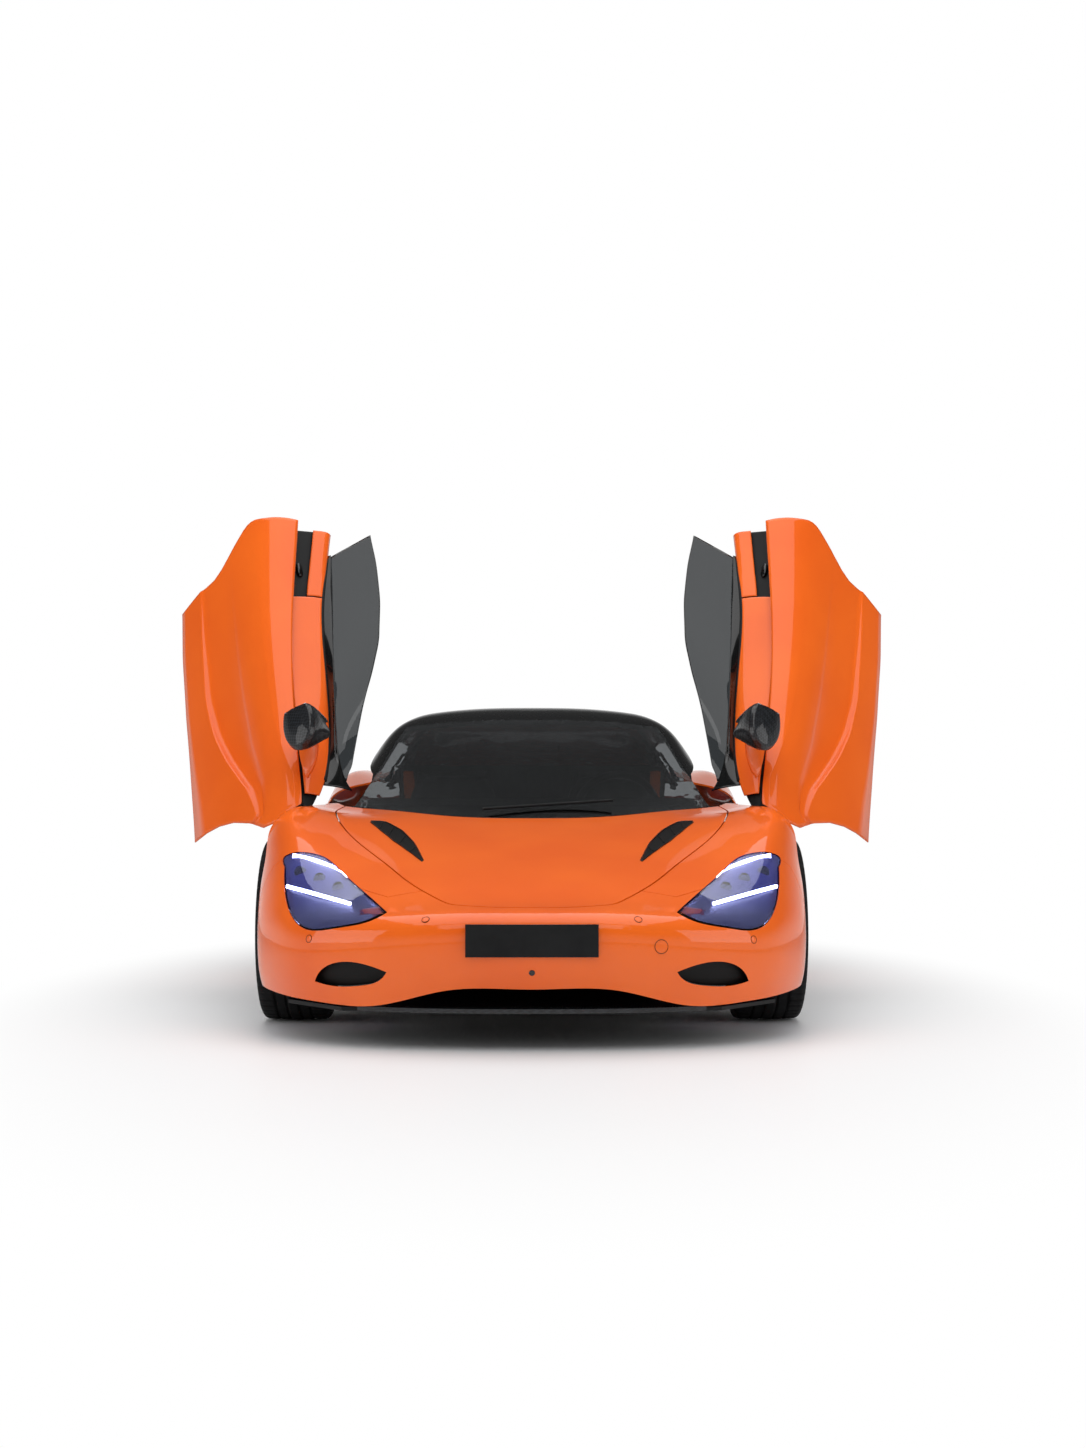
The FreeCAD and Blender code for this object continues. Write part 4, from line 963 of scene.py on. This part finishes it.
def makeVents(look):
    # a grid of view rays either side of the vent's line, each point on the bonnet and lifted a little
    tree = surfaceTree("bonnet")
    pixels = smoothPath([(*pixel, 0) for pixel in look["line"]], look["rows"])[:, :2]
    along = unit(np.gradient(pixels, axis=0))
    across = np.stack([along[:, 1], -along[:, 0]], axis=1)
    half = np.interp(np.linspace(0, 4, look["rows"]), range(5), look["half"])[:, None, None]
    level = np.linspace(-1, 1, look["columns"])[None, :, None]
    grid = pixels[:, None] + across[:, None] * half * level
    hits = [behindPixel(tree, *pixel) for pixel in grid.reshape(-1, 2)]
    places = np.array([place for place, _ in hits]).reshape(look["rows"], look["columns"], 3)
    lift = np.array([normal for _, normal in hits]).reshape(places.shape) * look["proud"]
    leaf = slab(places + lift, look["thickness"])
    rim = (np.concatenate([places[:, 0], places[::-1, -1]])
           + np.concatenate([lift[:, 0], lift[::-1, -1]]) * look["rimLift"])
    rimRing = sweep(rim, ringOutline(look["rimRadius"], 8))
    raised = places + lift * look["bladeLift"]
    blades = [sweep(smoothPath(raised[row, 1:-1], 8), ringOutline(look["rimRadius"], 8, 0.6))
              for row in np.linspace(*look["bladeEnds"], look["blades"]).astype(int)]
    # the leaf is a near-black sheet: painted shade where the outlet opens into the bonnet
    bothSides("bonnet_outlet", leaf, shadeBlack, "bonnet_lid")
    bothSides("bonnet_outlet_rim", rimRing, blackLacquer, "bonnet_lid")
    bothSides("bonnet_outlet_blades", joinParts(blades), blackPlastic, "bonnet_lid")


makeVents(ventLook)
print("bonnet outlets made")

# Seats: padded cushion and back over a carbon shell, with an orange belt at the outer shoulder
seatLook = {"centre": 0.35, "halfWidth": 0.205,
            "cushion": ((-0.215, 0.262), (-0.10, 0.246), (0.05, 0.232), (0.15, 0.246)),
            "back": ((0.165, 0.300), (0.225, 0.44), (0.29, 0.60), (0.345, 0.76), (0.40, 0.92)),
            "cushionHalf": 0.042, "backHalf": 0.034, "backNarrow": 0.28, "bolster": 0.045, "pressure": 4.0,
            "frames": 20, "voxel": 0.006, "cap": 0.014, "shell": 0.012, "shellWider": 0.024,
            "shellBack": 0.016, "shellBolster": 0.085, "headFrom": 0.72, "headNarrow": 0.07,
            "belt": ((0.555, 0.41, 0.93), (0.548, 0.37, 0.88), (0.545, 0.32, 0.78), (0.555, 0.25, 0.55),
                     (0.57, 0.15, 0.34)), "beltHalf": (0.0012, 0.023)}


def seatLine(line, count):
    # a smooth curve in the seat's middle plane, and its normals
    curve = smoothPath([(0, y, z) for y, z in line], count)
    return curve, np.cross((1, 0, 0), unit(np.gradient(curve, axis=0)))


def paddedForm(line, half, narrow, look):
    # superellipsoid laid along the seat's line, its sides raised: p = line(s) + across + t * normal
    turns, rings = 48, 33
    polar = np.linspace(0.02, np.pi - 0.02, rings)[:, None]
    around = np.linspace(0, 2 * np.pi, turns, endpoint=False)[None, :]
    direction = np.stack([np.sin(polar) * np.cos(around), np.tile(np.cos(polar), (1, turns)),
                          np.sin(polar) * np.sin(around)], axis=2)
    size = 1 / (np.abs(direction) ** 4).sum(axis=2, keepdims=True) ** 0.25
    across, along, thick = np.moveaxis(direction * size, 2, 0)
    curve, normal = seatLine(line, 101)
    number = np.clip(((1 - along) * 50).round().astype(int), 0, 100)
    reach = look["halfWidth"] * (1 - narrow * (1 - (1 - along) / 2) ** 2)
    lift = look["bolster"] * np.abs(across) ** 3
    points = curve[number] + normal[number] * (thick * half + lift)[..., None]
    points[..., 0] += across * reach
    return points.reshape(-1, 3), tubeFaces(rings, turns)


def swell(piece, look):
    # cloth pressure with gravity off, each point's travel capped, then smoothed
    remesh = piece.modifiers.new("remesh", "REMESH")
    remesh.mode = "VOXEL"
    remesh.voxel_size = look["voxel"]
    bpy.context.view_layer.objects.active = piece
    bpy.ops.object.modifier_apply(modifier="remesh")
    start = vertexArray(piece.data)
    cloth = piece.modifiers.new("cloth", "CLOTH")
    cloth.settings.use_pressure = True
    cloth.settings.uniform_pressure_force = look["pressure"]
    cloth.settings.effector_weights.gravity = 0
    cloth.point_cache.frame_start, cloth.point_cache.frame_end = 1, look["frames"]
    for step in range(1, look["frames"] + 1):
        bpy.context.scene.frame_set(step)
    moved = vertexArray(piece.evaluated_get(bpy.context.evaluated_depsgraph_get()).data)
    piece.modifiers.remove(cloth)
    bpy.context.scene.frame_set(1)
    travel = moved - start
    length = np.maximum(np.linalg.norm(travel, axis=1, keepdims=True), 1e-9)
    travel *= np.minimum(length, look["cap"]) / length
    piece.data.vertices.foreach_set("co", (start + travel).ravel())
    smooth = piece.modifiers.new("smooth", "SMOOTH")
    smooth.iterations = 4
    bpy.ops.object.modifier_apply(modifier="smooth")
    piece.data.polygons.foreach_set("use_smooth", [True] * len(piece.data.polygons))
    piece.data.update()


def mirroredCopy(piece, name, body):
    # x changes its sign, and the faces are turned back outwards
    mesh = piece.data.copy()
    mesh.vertices.foreach_set("co", flipped(vertexArray(mesh)).ravel())
    mesh.flip_normals()
    twin = newObject(name, mesh)
    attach(twin, body)
    return twin


def shellForm(look):
    # a dished shell behind the pads: the seat's line from the front edge to the head, bolsters at both sides
    curve, normal = seatLine((*look["cushion"], *look["back"]), 60)
    share = np.linspace(-1, 1, 25)[None, :, None]
    level = (np.arange(60) / 59)[:, None, None]
    headShare = np.clip(level - look["headFrom"], 0, 1) / (1 - look["headFrom"])
    reach = look["halfWidth"] + look["shellWider"] - look["headNarrow"] * headShare
    depth = look["shellBolster"] * np.abs(share) ** 4 - look["cushionHalf"] - look["shellBack"]
    points = curve[:, None] + normal[:, None] * depth
    points[..., 0] += (share * reach)[..., 0]
    return slab(points, look["shell"])


def makeSeats(look):
    shift = np.array((-look["centre"], 0, 0))
    for part, narrow in (("cushion", 0.0), ("back", look["backNarrow"])):
        points, faces = paddedForm(look[part], look[part + "Half"], narrow, look)
        pad = newPiece("seat_" + part + "_right", points + shift, faces, microfibre, "car")
        swell(pad, look)
        twin = mirroredCopy(pad, "seat_" + part + "_left", "car")
        for piece in (pad, twin):
            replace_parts(piece, "seats")
    points, faces = shellForm(look)
    strap = sweep(smoothPath(look["belt"], 40), rectangle(look["beltHalf"]), up=(1, 0, 0))
    for side, sign in (("right", -1), ("left", 1)):
        place = points + (sign * look["centre"], 0, 0)
        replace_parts(newPiece("seat_shell_" + side, place, faces, carbonWeave, "car"), "seats")
        newPiece("seat_belt_" + side, strap[0] * (sign, 1, 1), strap[1], orangeWebbing, "car", smooth=False)


# Woven polyester webbing: ribs across the strap, drawn 7.5 mm apart so that they show
def wovenWebbing(name, dark, light):
    material, tree, shader = newMaterial(name, dark, Roughness=0.7, **{"Sheen Weight": 0.2})
    ribs = addNode(tree, "TexWave", {"Vector": objectPlace(tree), "Scale": waveScale(0.0012),
                                     "Distortion": 0.3}, bands_direction="Z")
    tint(tree, shader, ribs.outputs["Fac"], dark, light)
    bump(tree, shader, ribs.outputs["Fac"], 0.0003, 0.6)
    return material


orangeWebbing = wovenWebbing("woven_orange_webbing", "#d2560d", "#f07a1c")
makeSeats(seatLook)
print("seats made")

# Studio: pale floor, white surround for what the camera sees, soft lamps


def makeCamera(shot):
    # lens = focal length in pixels / height in pixels * sensor; pitch and yaw bring the horizon to its row
    focal = shot["pixelsPerMetre"] * shot["cameraBeforeAxle"]
    data = bpy.data.cameras.new("studio_camera")
    data.sensor_width = 36
    data.lens = focal / shot["height"] * data.sensor_width
    camera = newObject("studio_camera", data)
    camera.location = (0, frontAxleY - shot["cameraBeforeAxle"], shot["cameraHeight"])
    pitch = math.atan((shot["horizonRow"] - shot["height"] / 2) / focal)
    yaw = math.atan((shot["centreColumn"] - shot["width"] / 2) / focal)
    camera.rotation_euler = (math.radians(90) + pitch, 0, yaw)
    bpy.context.scene.camera = camera


def makeWorld(look):
    # white for the camera and through glass; reflections see a studio that darkens overhead
    world = bpy.data.worlds.new("studio_world")
    bpy.context.scene.world = world
    world.use_nodes = True
    tree = world.node_tree
    tree.nodes.clear()
    rays = addNode(tree, "LightPath")
    seen = addNode(tree, "Math", {0: rays.outputs["Is Camera Ray"], 1: rays.outputs["Is Transmission Ray"]},
                   operation="MAXIMUM")
    parts = addNode(tree, "SeparateXYZ", {"Vector": addNode(tree, "TexCoord").outputs["Generated"]})
    height = addNode(tree, "MapRange", {"Value": parts.outputs["Z"], "From Min": look["wallTop"],
                                        "From Max": look["ceiling"], "To Min": look["wall"],
                                        "To Max": look["overhead"]}, interpolation_type="SMOOTHSTEP")
    mirrored = addNode(tree, "MapRange", {"Value": rays.outputs["Is Glossy Ray"], "To Min": look["ambient"],
                                          "To Max": height.outputs["Result"]})
    strength = addNode(tree, "MapRange", {"Value": seen.outputs[0], "To Min": mirrored.outputs["Result"],
                                          "To Max": 1.0})
    shade = addNode(tree, "Background", {"Color": (1, 1, 1, 1), "Strength": strength.outputs["Result"]})
    out = addNode(tree, "OutputWorld")
    tree.links.new(shade.outputs[0], out.inputs["Surface"])


def makeFloor(look):
    # pale paint that runs into the white surround with distance, for the camera only
    mesh = bpy.data.meshes.new("studio_floor")
    mesh.from_pydata([(x, y, 0) for x, y in rectangle((look["reach"],) * 2)], [], [(0, 1, 2, 3)])
    floor = newObject("studio_floor", mesh)
    material, tree, shader = newMaterial("painted_studio_floor", look["floor"], Roughness=0.45, **{
        "Specular IOR Level": 0.15})
    flat = addNode(tree, "Mapping", {"Vector": objectPlace(tree), "Scale": look["fadeShape"]})
    distance = addNode(tree, "VectorMath", {0: flat.outputs["Vector"]}, operation="LENGTH")
    fade = addNode(tree, "MapRange", {"Value": distance.outputs["Value"], "From Min": look["fadeStart"],
                                      "From Max": look["fadeEnd"]}, interpolation_type="SMOOTHSTEP")
    rays = addNode(tree, "LightPath")
    shown = addNode(tree, "Math", {0: fade.outputs["Result"], 1: rays.outputs["Is Camera Ray"]},
                    operation="MULTIPLY")
    white = addNode(tree, "Emission", {"Color": (1, 1, 1, 1), "Strength": 1.0})
    mix = addNode(tree, "MixShader", {"Fac": shown.outputs[0]})
    tree.links.new(shader.outputs[0], mix.inputs[1])
    tree.links.new(white.outputs[0], mix.inputs[2])
    tree.links.new(mix.outputs[0], tree.nodes["Material Output"].inputs["Surface"])
    mesh.materials.append(material)


def makeLamp(name, place, aim, width, height, watts):
    data = bpy.data.lights.new(name, "AREA")
    data.shape = "RECTANGLE"
    data.size, data.size_y = width, height
    data.energy = watts
    lamp = newObject(name, data)
    lamp.location = place
    lamp.rotation_euler = (Vector(aim) - Vector(place)).to_track_quat("-Z", "Y").to_euler()


# each lamp: place, the point it aims at, width, height and watts
studioLook = {"wallTop": 0.03, "ceiling": 0.4, "wall": 0.9, "overhead": 0.05, "ambient": 0.42,
              "floor": "#f4f4f5", "reach": 60, "fadeStart": 1.0, "fadeEnd": 2.3,
              "fadeShape": (1.0, 0.45, 1.0),
              "lamps": {"ceiling_softbox": ((0, -1.5, 4.6), (0, -0.9, 0), 5, 6, 160),
                        "front_softbox": ((0, -7.0, 5.2), (0, -1.6, 0.5), 6, 2.5, 70),
                        "left_softbox": ((-6.0, -4.0, 2.6), (0, -0.8, 0.7), 3.5, 3, 60),
                        "right_softbox": ((6.0, -4.0, 2.6), (0, -0.8, 0.7), 3.5, 3, 60)}}
makeCamera(photo)
makeWorld(studioLook)
makeFloor(studioLook)
for name, values in studioLook["lamps"].items():
    makeLamp(name, *values)
bpy.context.scene.view_settings.view_transform = "Standard"
